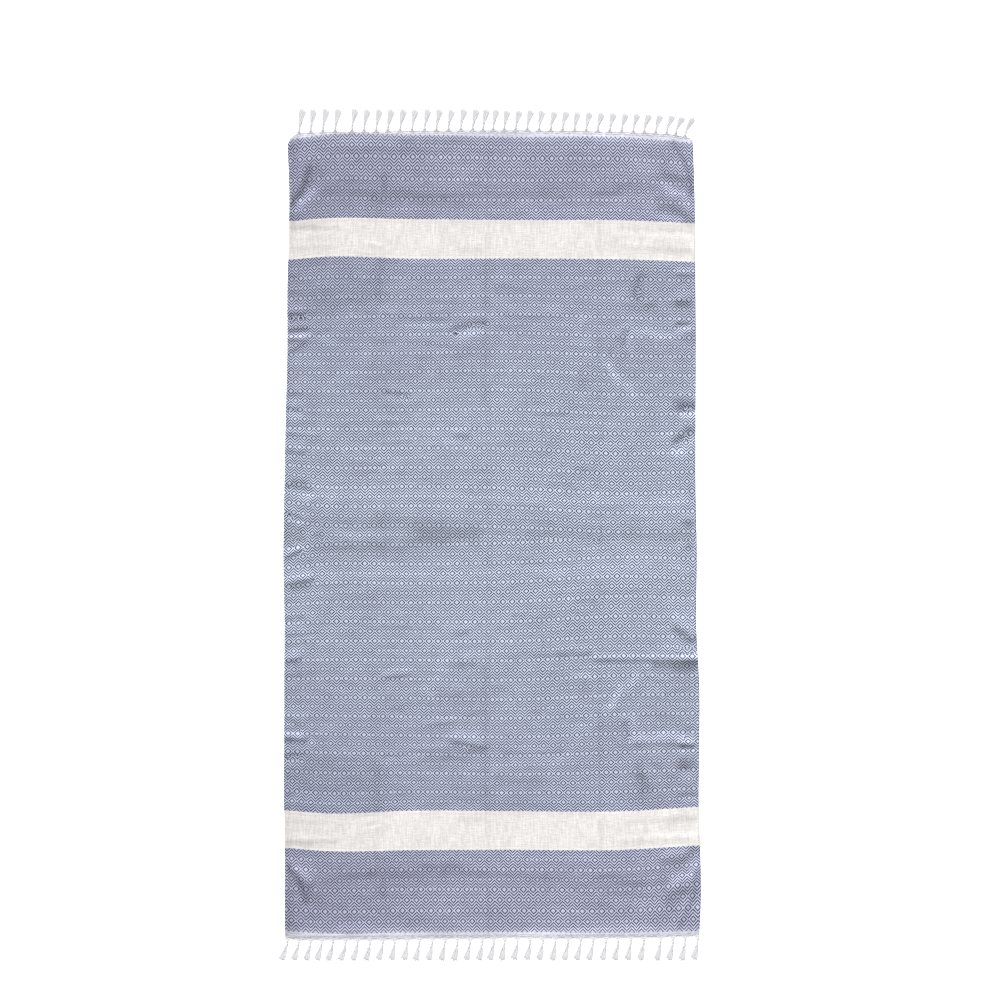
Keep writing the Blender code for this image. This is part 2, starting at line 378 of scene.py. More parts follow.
def counterpart(crease):
    """What a crease of the far half left in the near half."""
    there = mirrored_line(crease)
    if runs_along(crease):
        return there
    return there._replace(left=crease.right, right=crease.left, height=-crease.height)


def bell(line, x, y):
    """1 on a line of points, dying away with its own spread on either side."""
    value = np.zeros_like(x)
    for (x0, y0), (x1, y1) in zip(line.points, line.points[1:]):
        run_x, run_y = x1 - x0, y1 - y0
        along = ((x - x0) * run_x + (y - y0) * run_y) / (run_x**2 + run_y**2)
        along = np.clip(along, 0.0, 1.0)
        off_x, off_y = x - x0 - along * run_x, y - y0 - along * run_y
        off = np.hypot(off_x, off_y)
        leftness = (run_x * off_y - run_y * off_x) / np.maximum(off * np.hypot(run_x, run_y), 1e-9)
        spread = (line.left + line.right) / 2 + (line.left - line.right) / 2 * leftness
        value = np.maximum(value, fall_off(off, spread))
    return value


SHOULDER_REACH, SHOULDER_SHARE = 2.4, 0.75


def fold_height(crease, x, y):
    """A trough lies between low shoulders, which lift it clear of the floor."""
    height = crease.height * bell(crease, x, y)
    if crease.height < 0:
        wide = crease._replace(left=SHOULDER_REACH * crease.left, right=SHOULDER_REACH * crease.right)
        height -= SHOULDER_SHARE * crease.height * bell(wide, x, y)
    return height


shared_creases = CORNER_CREASES + LEFT_EDGE_CREASES + RIGHT_EDGE_CREASES + FIELD_CREASES + BAND_RIPPLES
creases = shared_creases + [counterpart(crease) for crease in shared_creases] + NEAR_CREASES
SHELF_FOLDS, SHELF_FOLD_END = [-236, -8, 236], 870  # these run nearly the whole length
for place in SHELF_FOLDS:
    ends = [(place, -SHELF_FOLD_END), (place, SHELF_FOLD_END)]
    creases.append(Crease(ends, left=4, right=7, height=0.7))
print("creases:", len(creases))

# %% [markdown]
# ## Shade and light painted along the folds
#
# Where a fold's relief is too low to show its light and shade, they are painted into the colour:
# a darker line is painted shade and a paler one a painted highlight. A square of cloth at the left
# of each half, next to the cream band, is also a shade darker than the rest. These marks sit in
# tables of their own, one for each part of the cloth, with a tone: below 1 is darker than the cloth
# round it, above 1 lighter. They too were pressed through both halves, and two last tables hold
# what only one half shows.

# %% Marks on the end panels and the hems
# Painted shading along a run of points: a tone below 1 is painted shade, above 1 a painted highlight
PaintedShading = namedtuple("PaintedShading", "points left right tone")
PANEL_MARKS = [
    PaintedShading([(-432, 862), (-432, 690)], 10, 10, 0.91),
    PaintedShading([(-355, 756), (-255, 744)], 12, 12, 0.93),
    PaintedShading([(-255, 738), (-100, 738)], 11, 11, 0.89),
    PaintedShading([(-100, 740), (120, 748)], 10, 10, 0.93),
    PaintedShading([(120, 750), (330, 764)], 12, 12, 0.94),
    PaintedShading([(-232, 750), (-231, 788)], 8, 8, 0.91),
    PaintedShading([(-255, 846), (-140, 836)], 10, 12, 0.96),
    PaintedShading([(-432, 724), (-423, 736), (-411, 752), (-403, 771), (-400, 786), (-395, 800)], 7, 8, 0.80),
    PaintedShading([(386, 788), (404, 783), (420, 772)], 10, 12, 0.90),
    PaintedShading([(372, 717), (395, 715), (414, 708), (425, 698), (437, 686)], 8, 8, 0.89),
    PaintedShading([(376, 806), (384, 812)], 9, 9, 0.93),
    PaintedShading([(230, 808), (236, 808)], 8, 8, 0.93),
    PaintedShading([(-8, 700), (-8, 860)], 7, 7, 0.98),
    PaintedShading([(-205, 748), (-170, 746)], 12, 10, 0.91),
    PaintedShading([(-150, 724), (-70, 726)], 8, 8, 0.91),
    PaintedShading([(-240, 700), (-240, 725)], 7, 7, 0.92),
    PaintedShading([(358, 758), (372, 756)], 10, 10, 0.90),
    PaintedShading([(-390, 786), (-364, 794)], 12, 12, 0.91),
    PaintedShading([(-428, 848), (-418, 860)], 8, 8, 0.92),
    PaintedShading([(-60, 826), (10, 826)], 12, 12, 0.95),
    PaintedShading([(350, 840), (400, 815)], 16, 16, 0.95),
    PaintedShading([(280, 758), (320, 756)], 12, 12, 0.94),
    PaintedShading([(-300, 742), (-255, 741)], 10, 9, 0.95),
    PaintedShading([(-330, 765), (120, 765)], 30, 30, 0.975),
    PaintedShading([(200, 775), (400, 770)], 30, 30, 0.975),
    PaintedShading([(-330, 864), (-270, 866)], 10, 10, 1.06),
    PaintedShading([(-110, 800), (-30, 806)], 34, 34, 1.02),
    PaintedShading([(328, 812), (348, 800)], 20, 20, 1.06),
    PaintedShading([(409, 806), (414, 820)], 9, 9, 1.06),
    PaintedShading([(-420, 725), (-404, 734), (-388, 745)], 9, 9, 1.20),
    PaintedShading([(384, 765), (396, 755), (407, 749), (424, 742), (433, 722)], 8, 9, 1.13),
    PaintedShading([(80, 862), (230, 860), (340, 857)], 9, 9, 1.08),
    PaintedShading([(-320, 858), (-200, 860)], 10, 9, 1.08),
    PaintedShading([(90, 704), (215, 706)], 8, 8, 1.07),
]
print("marks in this table:", len(PANEL_MARKS))

# %% Marks on the cream bands and beside them
BAND_MARKS = [
    PaintedShading([(-238, 612), (-238, 680)], 5, 6, 0.97),
    PaintedShading([(-8, 612), (-8, 680)], 5, 6, 0.97),
    PaintedShading([(238, 612), (238, 680)], 5, 6, 0.97),
    PaintedShading([(-420, 645), (-380, 645)], 40, 40, 0.95),
    PaintedShading([(390, 630), (440, 618)], 8, 8, 0.94),
    PaintedShading([(-432, 668), (-385, 676)], 9, 9, 0.91),
    PaintedShading([(-340, 655), (-250, 655)], 40, 40, 0.975),
    PaintedShading([(385, 620), (425, 612)], 6, 6, 0.93),
    PaintedShading([(-290, 613), (-240, 611)], 5, 5, 0.94),
    PaintedShading([(383, 690), (417, 690)], 9, 9, 1.09),
    PaintedShading([(-430, 650), (-400, 651)], 8, 8, 1.05),
    PaintedShading([(350, 651), (430, 649)], 7, 7, 1.05),
    PaintedShading([(240, 608), (430, 606)], 6, 6, 1.05),
]
print("marks in this table:", len(BAND_MARKS))

# %% Marks at the selvedges
EDGE_MARKS = [
    PaintedShading([(408, 290), (442, 284)], 14, 11, 0.80),
    PaintedShading([(406, 207), (436, 230)], 9, 8, 0.88),
    PaintedShading([(412, 502), (430, 501)], 13, 11, 0.88),
    PaintedShading([(350, 330), (440, 320)], 60, 60, 0.97),
    PaintedShading([(-385, 1), (-370, 1)], 7, 5, 0.90),
    PaintedShading([(-444, 8), (-416, 6)], 13, 13, 0.91),
    PaintedShading([(300, 3), (442, 3)], 8, 8, 0.95),
    PaintedShading([(434, 27), (438, 22)], 9, 9, 0.86),
    PaintedShading([(440, 84), (440, 96)], 9, 9, 0.92),
    PaintedShading([(-425, 113), (-398, 111)], 8, 8, 0.88),
    PaintedShading([(414, 461), (434, 462)], 6, 6, 0.89),
    PaintedShading([(-430, 320), (-390, 300)], 22, 22, 0.96),
    PaintedShading([(-438, 474), (-395, 474)], 6, 6, 0.92),
    PaintedShading([(-425, 385), (-400, 385)], 16, 16, 1.05),
    PaintedShading([(-430, 250), (-405, 252)], 12, 12, 1.07),
    PaintedShading([(313, 445), (345, 442), (372, 438), (391, 433), (408, 437), (436, 451)], 9, 9, 1.08),
    PaintedShading([(428, 262), (447, 262)], 9, 9, 1.08),
    PaintedShading([(410, 184), (440, 200)], 14, 14, 1.02),
    PaintedShading([(398, 186), (436, 178)], 16, 20, 1.08),
    PaintedShading([(412, 74), (424, 74)], 10, 10, 1.05),
    PaintedShading([(380, 246), (440, 242)], 9, 9, 1.07),
    PaintedShading([(385, 152), (430, 150)], 14, 12, 1.06),
    PaintedShading([(-412, 430), (-388, 430)], 7, 6, 1.07),
]
print("marks in this table:", len(EDGE_MARKS))

# %% Marks in the field
FIELD_MARKS = [
    PaintedShading([(272, 388), (280, 430)], 7, 7, 0.95),
    PaintedShading([(-239, 508), (-239, 594)], 10, 6, 0.93),
    PaintedShading([(-247, 300), (-247, 440)], 13, 13, 0.95),
    PaintedShading([(-12, 290), (-9, 590)], 7, 7, 0.91),
    PaintedShading([(-8, 30), (-8, 285)], 6, 7, 0.97),
    PaintedShading([(236, 300), (236, 595)], 7, 7, 0.965),
    PaintedShading([(320, 560), (420, 540)], 50, 50, 0.96),
    PaintedShading([(-232, 310), (-185, 306)], 7, 7, 0.94),
    PaintedShading([(-235, 198), (-175, 202)], 5, 5, 0.93),
    PaintedShading([(-305, 156), (-240, 150)], 6, 6, 0.93),
    PaintedShading([(-230, 133), (-140, 136)], 5, 5, 0.93),
    PaintedShading([(-190, 159), (-150, 165)], 5, 5, 0.94),
    PaintedShading([(-350, 150), (-260, 130)], 22, 22, 0.97),
    PaintedShading([(-70, 212), (-52, 210)], 9, 9, 0.91),
    PaintedShading([(-60, 575), (130, 590)], 22, 16, 0.96),
    PaintedShading([(60, 548), (110, 545)], 18, 18, 0.96),
    PaintedShading([(322, 524), (330, 562)], 12, 10, 0.87),
    PaintedShading([(350, 501), (355, 501)], 10, 10, 0.84),
    PaintedShading([(292, 414), (299, 444)], 8, 6, 0.87),
    PaintedShading([(225, 425), (250, 424)], 7, 7, 0.95),
    PaintedShading([(200, 325), (204, 340)], 13, 13, 0.93),
    PaintedShading([(104, 263), (166, 264)], 5, 5, 0.94),
    PaintedShading([(105, 186), (128, 182)], 12, 12, 0.94),
    PaintedShading([(194, 141), (222, 142)], 7, 7, 0.92),
    PaintedShading([(230, 105), (230, 168)], 5, 9, 0.95),
    PaintedShading([(244, 122), (250, 130)], 10, 10, 0.95),
    PaintedShading([(-130, 483), (-90, 480), (-25, 471)], 8, 9, 0.88),
    PaintedShading([(-220, 358), (-198, 358)], 8, 7, 0.89),
    PaintedShading([(-110, 352), (-35, 352)], 8, 7, 0.91),
    PaintedShading([(318, 500), (336, 496)], 10, 9, 0.92),
    PaintedShading([(326, 512), (331, 530)], 7, 7, 0.93),
    PaintedShading([(-330, 473), (-278, 471)], 12, 12, 1.06),
    PaintedShading([(-235, 493), (-160, 488)], 8, 8, 1.04),
    PaintedShading([(-190, 456), (-100, 458)], 10, 10, 1.05),
    PaintedShading([(-360, 425), (-345, 422)], 14, 14, 1.06),
    PaintedShading([(-120, 240), (0, 230)], 60, 60, 1.03),
    PaintedShading([(-90, 190), (-60, 188)], 14, 14, 1.05),
    PaintedShading([(135, 502), (142, 502)], 12, 12, 1.06),
    PaintedShading([(311, 402), (310, 430)], 9, 9, 1.09),
    PaintedShading([(-54, 440), (-26, 442)], 14, 11, 1.07),
    PaintedShading([(188, 418), (214, 418)], 9, 9, 1.05),
    PaintedShading([(236, 378), (264, 373)], 6, 6, 1.07),
    PaintedShading([(282, 332), (270, 356), (260, 373)], 7, 7, 1.19),
    PaintedShading([(315, 305), (302, 330)], 8, 8, 1.16),
    PaintedShading([(204, 292), (196, 308)], 6, 6, 1.06),
    PaintedShading([(-100, 328), (-60, 328)], 7, 7, 1.07),
    PaintedShading([(10, 508), (45, 506)], 7, 7, 1.06),
    PaintedShading([(150, 240), (200, 246)], 18, 14, 1.05),
    PaintedShading([(-60, 456), (-5, 464)], 6, 6, 1.07),
]
print("marks in this table:", len(FIELD_MARKS))

# %% Marks along the middle, where the towel was folded over
MIDDLE_MARKS = [
    PaintedShading([(60, 63), (118, 60)], 5, 5, 0.92),
    PaintedShading([(60, 33), (125, 31)], 5, 5, 0.96),
    PaintedShading([(-390, 27), (-240, 23)], 16, 13, 0.90),
    PaintedShading([(-240, 26), (-100, 16)], 20, 12, 0.92),
    PaintedShading([(-150, 6), (-35, 4)], 22, 15, 0.92),
    PaintedShading([(-240, 4), (440, 4)], 30, 12, 0.975),
    PaintedShading([(88, 3), (242, 1)], 10, 8, 0.97),
    PaintedShading([(-5, 61), (45, 61)], 5, 6, 0.93),
    PaintedShading([(-400, 84), (-60, 84)], 14, 13, 1.06),
    PaintedShading([(-180, 54), (-60, 55)], 6, 6, 1.03),
    PaintedShading([(-330, 0), (-160, -1)], 9, 9, 1.03),
    PaintedShading([(20, 78), (440, 74)], 15, 13, 1.06),
    PaintedShading([(236, 76), (262, 76)], 10, 10, 1.05),
    PaintedShading([(300, 52), (340, 52)], 9, 9, 1.05),
    PaintedShading([(-40, 82), (0, 80)], 8, 8, 1.06),
]
print("marks in this table:", len(MIDDLE_MARKS))

# %% Marks that only one half shows
FAR_MARKS = [
    PaintedShading([(-190, 598), (-20, 596)], 7, 7, 1.09),
    PaintedShading([(-75, 188), (-40, 188)], 8, 7, 1.07),
    PaintedShading([(-434, 116), (-405, 115)], 6, 6, 0.88),
    PaintedShading([(-430, 71), (-405, 71)], 7, 7, 1.09),
    PaintedShading([(-437, 46), (-415, 42)], 7, 7, 0.91),
    PaintedShading([(-388, 800), (-375, 806)], 10, 10, 0.92),
    PaintedShading([(441, 745), (440, 773), (430, 802), (417, 833), (402, 857)], 6, 6, 0.84),
    PaintedShading([(-425, 520), (-260, 516)], 16, 16, 0.95),
    PaintedShading([(-55, 622), (-20, 622)], 9, 9, 0.93),
    PaintedShading([(240, 866), (375, 860)], 13, 11, 1.10),
    PaintedShading([(-40, 486), (30, 484)], 9, 9, 1.04),
    PaintedShading([(-438, 722), (-437, 760)], 5, 5, 1.13),
    PaintedShading([(-436, 790), (-434, 830), (-424, 858)], 5, 4, 1.07),
    PaintedShading([(-410, 871), (-350, 871)], 7, 7, 1.11),
    PaintedShading([(-414, 776), (-404, 774)], 8, 8, 0.93),
    PaintedShading([(400, 276), (436, 272)], 7, 7, 0.92),
    PaintedShading([(5, 428), (30, 430)], 9, 9, 1.06),
    PaintedShading([(-415, 430), (-385, 428)], 9, 8, 1.06),
    PaintedShading([(268, 475), (262, 512)], 9, 9, 0.96),
    PaintedShading([(328, 508), (334, 522)], 5, 5, 0.93),
]
NEAR_MARKS = [
    PaintedShading([(395, -188), (435, -190)], 14, 12, 0.92),
    PaintedShading([(340, -458), (410, -450)], 7, 7, 1.06),
    PaintedShading([(20, -576), (110, -580)], 10, 9, 1.06),
    PaintedShading([(-60, -624), (-10, -624)], 8, 8, 0.94),
    PaintedShading([(-75, -800), (-60, -850)], 28, 28, 1.05),
    PaintedShading([(-447, -725), (-446, -760)], 6, 6, 1.12),
    PaintedShading([(-320, -42), (-110, -38)], 24, 20, 0.95),
    PaintedShading([(-90, -735), (-20, -738)], 12, 10, 0.92),
    PaintedShading([(348, -503), (358, -503)], 10, 10, 1.13),
    PaintedShading([(-190, -605), (-20, -600)], 9, 9, 1.05),
    PaintedShading([(250, -605), (440, -600)], 9, 9, 1.05),
    PaintedShading([(-315, -873), (-275, -873)], 7, 7, 0.88),
    PaintedShading([(-440, -872), (-420, -872)], 7, 7, 0.88),
    PaintedShading([(-396, -796), (-384, -804)], 12, 12, 0.90),
    PaintedShading([(375, -775), (420, -772)], 8, 8, 0.94),
    PaintedShading([(-395, -862), (-360, -862)], 12, 12, 1.04),
    PaintedShading([(425, -271), (450, -271)], 6, 6, 0.91),
    PaintedShading([(452, -745), (450, -788), (441, -810), (437, -835), (417, -865)], 8, 8, 0.91),
    PaintedShading([(-430, -585), (-300, -590)], 22, 20, 1.07),
    PaintedShading([(-400, -862), (-180, -862)], 14, 14, 1.05),
    PaintedShading([(180, -865), (400, -860)], 14, 14, 1.06),
    PaintedShading([(-62, -284), (-40, -284)], 9, 8, 0.88),
    PaintedShading([(-60, -262), (-20, -264)], 8, 8, 1.09),
    PaintedShading([(362, -288), (404, -288)], 8, 7, 0.82),
    PaintedShading([(432, -285), (452, -285)], 8, 8, 1.22),
    PaintedShading([(415, -495), (445, -497)], 9, 9, 0.87),
    PaintedShading([(418, -472), (446, -472)], 7, 7, 1.24),
    PaintedShading([(418, -459), (446, -459)], 5, 5, 0.89),
    PaintedShading([(-425, -452), (-388, -452)], 6, 7, 1.22),
    PaintedShading([(-420, -416), (-405, -416)], 7, 7, 0.90),
    PaintedShading([(-380, -422), (-360, -422)], 7, 7, 0.91),
    PaintedShading([(15, -530), (45, -540)], 7, 6, 0.91),
    PaintedShading([(35, -445), (65, -445)], 7, 6, 0.92),
    PaintedShading([(20, -470), (45, -478)], 9, 8, 0.93),
    PaintedShading([(334, -528), (350, -560)], 6, 6, 0.87),
    PaintedShading([(-435, -640), (-340, -640)], 60, 60, 0.975),
    PaintedShading([(150, -262), (218, -263)], 7, 6, 0.87),
    PaintedShading([(238, -279), (322, -278)], 5, 5, 0.93),
    PaintedShading([(345, -292), (360, -272)], 6, 6, 1.07),
    PaintedShading([(185, -309), (214, -307)], 8, 8, 1.06),
    PaintedShading([(-198, -257), (-182, -257)], 8, 8, 1.08),
    PaintedShading([(-110, -298), (-98, -298)], 9, 9, 1.06),
    PaintedShading([(-92, -272), (-90, -268)], 12, 12, 1.06),
    PaintedShading([(-80, -286), (-66, -286)], 14, 14, 0.92),
    # painted shade in the groove of the near hem
    PaintedShading([(-440, -883), (-367, -881), (-300, -880), (-220, -879)], 2, 2, 0.84),
    PaintedShading([(-220, -879), (60, -879), (440, -879)], 2, 2, 0.93),
    PaintedShading([(-422, -738), (-408, -775)], 5, 5, 0.93),
    PaintedShading([(-440, -285), (-438, -335)], 9, 7, 1.06),
    PaintedShading([(-425, -575), (-395, -578)], 9, 9, 1.06),
    PaintedShading([(-444, -112), (-415, -110)], 5, 5, 1.07),
    PaintedShading([(340, -562), (352, -562)], 6, 6, 0.91),
    PaintedShading([(240, -588), (262, -596)], 5, 5, 0.94),
    PaintedShading([(196, -266), (222, -262)], 5, 5, 0.93),
    PaintedShading([(405, -461), (425, -462)], 5, 5, 0.93),
    PaintedShading([(-56, -415), (-46, -440)], 8, 8, 0.95),
]
print("marks of one half:", len(FAR_MARKS), "and", len(NEAR_MARKS))

# %% Reading the tables of marks
PAINTED_SHADING_STRENGTH = 1.5

# The darker square: where it ends, and how softly, at its right, low and high edges
SQUARE_RIGHT, SQUARE_LOW, SQUARE_HIGH, SQUARE_TONE = -233.0, 478.0, 604.0, 0.955
RIGHT_SOFTNESS, LOW_SOFTNESS, HIGH_SOFTNESS = 2.0, 7.0, 3.0

# Painted light: the edge of the near hem, which faces away from the light, is painted paler than the far
# one
NEAR_HEM_PAINTED_LIGHT, NEAR_HEM_REACH = 0.13, 13.0

shared_marks = PANEL_MARKS + BAND_MARKS + EDGE_MARKS + FIELD_MARKS + MIDDLE_MARKS
marks = shared_marks + [mirrored_line(mark) for mark in shared_marks] + FAR_MARKS + NEAR_MARKS


def soft_edge(value, edge, softness):
    """1 well below the edge and 0 well above it."""
    return 1 / (1 + np.exp((value - edge) / softness))


# The tone of each place: the marks' painted shade and painted highlights, the painted light along the
# near hem, and the darker square
def tone_and_painted_shading_at(x, y):
    tone = np.ones_like(x)
    for mark in marks:
        tone *= 1 + PAINTED_SHADING_STRENGTH * (mark.tone - 1) * bell(mark, x, y)
    from_middle = np.abs(y - MIRROR_Y)
    inside = soft_edge(x, SQUARE_RIGHT, RIGHT_SOFTNESS)
    inside = inside * soft_edge(-from_middle, -SQUARE_LOW, LOW_SOFTNESS)
    inside = inside * soft_edge(from_middle, SQUARE_HIGH, HIGH_SOFTNESS)
    tone *= 1 + NEAR_HEM_PAINTED_LIGHT * fall_off(y - hem_at(x, NEAR_HEM), NEAR_HEM_REACH)
    return tone * (1 + (SQUARE_TONE - 1) * inside)


print("marks:", len(marks))

# %% [markdown]
# A cloth between its creases isn't dead flat either. Broad, low swells tilt it by a degree or so,
# and finer ones leave the pattern a little uneven. A sum of a few sine waves with mixed directions
# gives that without any noise table, and it is the same each time. The selvedges add a curl of
# their own, which comes and goes along the edge.

# %% Swells and curling edges
Swell = namedtuple("Swell", "wave_x wave_y phase height")
SWELLS = [
    Swell(310, 540, 0.4, 0.50),
    Swell(-420, 260, 2.1, 0.40),
    Swell(150, -380, 4.4, 0.22),
    Swell(-95, 170, 1.3, 0.16),
    Swell(70, 62, 5.2, 0.10),
    Swell(-48, 88, 3.0, 0.08),
]
CURL_HEIGHT, CURL_SPREAD, CURL_WAVE = 2.2, 9.0, 310.0
CURL_PHASES = {"left": 1.0, "right": 2.6}
HEM_LEVEL = 14.0  # the folds die out this close to a hem, where the knots hold the cloth flat


def swell_height(x, y):
    total = np.zeros_like(x)
    for swell in SWELLS:
        total += swell.height * np.sin(2 * np.pi * (x / swell.wave_x + y / swell.wave_y) + swell.phase)
    return total


def curl_height(y, from_left, from_right):
    total = np.zeros_like(y)
    for name, away in (("left", from_left), ("right", from_right)):
        wave = 0.5 + 0.5 * np.sin(2 * np.pi * y / CURL_WAVE + CURL_PHASES[name])
        total = np.maximum(total, CURL_HEIGHT * wave * fall_off(away, CURL_SPREAD))
    return total


# %% [markdown]
# ## The cloth
#
# A sheet of cloth could be a flat grid with a Solidify modifier. Here we write the grid as arrays
# instead, for two reasons. The pattern needs its own coordinates at every point, and the underside,
# which nobody sees while the towel lies down, can make do with far fewer points than the top. The
# two are joined by a narrow rounded rim, so the piece is one closed skin, a little over a
# millimetre thick.

# %% Grid lines
Span = namedtuple("Span", "start end lines")
ACROSS = [  # in shares of the width: closest at the selvedges and beside the three long folds
    Span(0.000, 0.027, 9),
    Span(0.027, 0.100, 17),
    Span(0.100, 0.225, 18),
    Span(0.225, 0.250, 7),
    Span(0.250, 0.477, 33),
    Span(0.477, 0.502, 7),
    Span(0.502, 0.745, 35),
    Span(0.745, 0.770, 7),
    Span(0.770, 0.900, 19),
    Span(0.900, 0.973, 17),
    Span(0.973, 1.000, 9),
]
FROM_HEM = [Span(-1.0, -0.984, 9), Span(-0.984, 0.0, 243)]  # in shares of one half's length
UNDER_EVERY = 6  # the underside keeps one line in six


def spread_lines(spans):
    runs = [np.linspace(span.start, span.end, span.lines, endpoint=False) for span in spans]
    return np.concatenate(runs)


across = np.append(spread_lines(ACROSS), 1.0)
near_half = spread_lines(FROM_HEM)
along = np.concatenate([near_half, [0.0], -near_half[::-1]])
print("grid:", len(across), "by", len(along))

# %% Place every grid point
NEAR_END, FAR_END = -885.0, 880.0  # a first guess at the hems
SETTLING = 3  # rounds: the sides depend on y and the hems on x, so they settle together


def cloth_plan(across, along):
    """Where the grid points lie on the floor, in table millimetres."""
    share, reach = np.meshgrid(across, along)
    y = np.where(reach < 0, -reach * NEAR_END, reach * FAR_END)
    for _ in range(SETTLING):
        x = side_at(y, "left") + share * (side_at(y, "right") - side_at(y, "left"))
        far, near = hem_at(x, FAR_HEM), hem_at(x, NEAR_HEM)
        y = np.where(reach < 0, SEAM_Y + reach * (SEAM_Y - near), SEAM_Y + reach * (far - SEAM_Y))
    return x, y


flat_x, flat_y = cloth_plan(across, along)
from_left = flat_x - side_at(flat_y, "left")
from_right = side_at(flat_y, "right") - flat_x
from_hem = np.minimum(hem_at(flat_x, FAR_HEM) - flat_y, flat_y - hem_at(flat_x, NEAR_HEM))

level = smooth_step(from_hem, 0.0, HEM_LEVEL)
folded = sum(fold_height(crease, flat_x, flat_y) for crease in creases)
lift = RIDE_HEIGHT + folded + swell_height(flat_x, flat_y)
lift = np.maximum(lift + curl_height(flat_y, from_left, from_right), 0.0) * level
print("lift from", lift.min().round(2), "to", lift.max().round(2), "mm")

# %% [markdown]
# Thickness isn't even. The plain cream bands are thinner than the twill, the weft packs close at
# the selvedge and makes it firm, and each hem is turned and beaten into a small roll. A ruler laid
# on the towel would rock on those rolls, so they go into the mesh and not only into the shading.

# %% Thickness
TWILL_THICKNESS, BAND_THICKNESS = 1.3, 1.0
BAND_SLOPE = 0.25  # in rows: how far the change from one to the other takes
Roll = namedtuple("Roll", "inward spread extra")
HEM_ROLLS = [Roll(2.6, 2.2, 0.5), Roll(7.4, 1.9, 0.3)]
FIRM_EDGE = Roll(1.6, 1.5, 0.5)

row_number = np.where(flat_y > SEAM_Y, row_at(flat_x, flat_y, True), row_at(flat_x, flat_y, False))
past_start = np.clip((row_number - HEM_ROWS) / BAND_SLOPE, 0, 1)
before_end = np.clip((BAND_END - row_number) / BAND_SLOPE, 0, 1)
thickness = TWILL_THICKNESS + (BAND_THICKNESS - TWILL_THICKNESS) * past_start * before_end
for roll in HEM_ROLLS:
    thickness += roll.extra * fall_off(from_hem - roll.inward, roll.spread)
from_side = np.minimum(from_left, from_right)
thickness += FIRM_EDGE.extra * fall_off(from_side - FIRM_EDGE.inward, FIRM_EDGE.spread) * level
print("thickness from", thickness.min().round(2), "to", thickness.max().round(2), "mm")


# %% A piece in the scene
def new_piece(name, points, faces):
    """A mesh object, from points in table millimetres."""
    mesh = bpy.data.meshes.new(name)
    mesh.from_pydata(to_frame(points).tolist(), [], faces)
    made = bpy.data.objects.new(name, mesh)
    bpy.context.scene.collection.objects.link(made)
    return made


# %% Build the sheet
RIM_BULGE = 0.5


def rim_loop(rows, columns):
    """Grid places round the edge, anticlockwise seen from above."""
    near = [(0, i) for i in range(columns)]
    right = [(j, columns - 1) for j in range(1, rows)]
    far = [(rows - 1, i) for i in range(columns - 2, -1, -1)]
    left = [(j, 0) for j in range(rows - 2, 0, -1)]
    return near + right + far + left


def build_cloth(name):
    rows, columns = flat_x.shape
    top = np.stack([flat_x, flat_y, lift + thickness], -1).reshape(-1, 3)
    number_of = np.arange(rows * columns).reshape(rows, columns)
    a, b = number_of[:-1, :-1].ravel(), number_of[:-1, 1:].ravel()
    c, d = number_of[1:, 1:].ravel(), number_of[1:, :-1].ravel()
    faces = np.stack([a, b, c, d], -1).tolist()
    top_count = len(faces)

    loop = rim_loop(rows, columns)
    edge_top = np.array([number_of[place] for place in loop])
    # the rim bulges outwards half way down
    before, after = np.roll(edge_top, 1), np.roll(edge_top, -1)
    run = top[after][:, :2] - top[before][:, :2]
    outward = np.stack([run[:, 1], -run[:, 0]], -1) / np.linalg.norm(run, axis=1, keepdims=True)
    rim = top[edge_top].copy()
    edge_lift = np.array([lift[place] for place in loop])
    rim[:, :2] += outward * RIM_BULGE
    rim[:, 2] = (rim[:, 2] + edge_lift) / 2
    under_edge = top[edge_top].copy()
    under_edge[:, 2] = edge_lift

    count = len(loop)
    rim_first, under_first = len(top), len(top) + count
    after_of = [(n + 1) % count for n in range(count)]
    for n, m in enumerate(after_of):
        faces.append([edge_top[n], rim_first + n, rim_first + m, edge_top[m]])
        faces.append([rim_first + n, under_first + n, under_first + m, rim_first + m])
    rim_count = len(faces) - top_count

    # the underside: one grid line in six, and at the border every point of the rim
    under_of = {place: under_first + n for n, place in enumerate(loop)}
    points = [top, rim, under_edge]
    inner = []
    kept_rows = list(range(0, rows - 1, UNDER_EVERY)) + [rows - 1]
    kept_columns = list(range(0, columns - 1, UNDER_EVERY)) + [columns - 1]
    for j in kept_rows[1:-1]:
        for i in kept_columns[1:-1]:
            under_of[(j, i)] = under_first + count + len(inner)
            inner.append((flat_x[j, i], flat_y[j, i], lift[j, i]))
    points.append(np.array(inner))
    for j, next_j in zip(kept_rows, kept_rows[1:]):
        for i, next_i in zip(kept_columns, kept_columns[1:]):
            near_side = range(i, next_i) if j == 0 else [i]
            right_side = range(j, next_j) if next_i == columns - 1 else [j]
            far_side = range(next_i, i, -1) if next_j == rows - 1 else [next_i]
            left_side = range(next_j, j, -1) if i == 0 else [next_j]
            corners = [(j, n) for n in near_side] + [(n, next_i) for n in right_side]
            corners += [(next_j, n) for n in far_side] + [(n, i) for n in left_side]
            faces.append([under_of[place] for place in reversed(corners)])

    points = np.concatenate(points)
    cloth = new_piece(name, points, faces)
    finishes = [0] * (top_count + rim_count) + [1] * (len(faces) - top_count - rim_count)
    cloth.data.polygons.foreach_set("material_index", finishes)
    cloth.data.update()
    return cloth, points, top_count, rim_count


woven_cloth, cloth_points, top_faces, rim_faces = build_cloth("woven_cloth")
print("cloth faces:", len(woven_cloth.data.polygons), "top", top_faces, "rim", rim_faces)

# %% [markdown]
# Four sets of coordinates go with the cloth. `weave` says which column and which row of diamonds
# lies at each point, and the material draws the twill from it. `border` says how far in from the
# selvedge and the hem a point lies, and `tone` carries the painted shade and painted light of the
# folds there. The last is a plain map of the sheet for anyone who paints or bakes it: the top takes
# most of the picture and the underside the strip beside it.

# %% Coordinates for the weave and for baking
TOP_SHARE = 0.70
MAP_MARGIN = 0.004


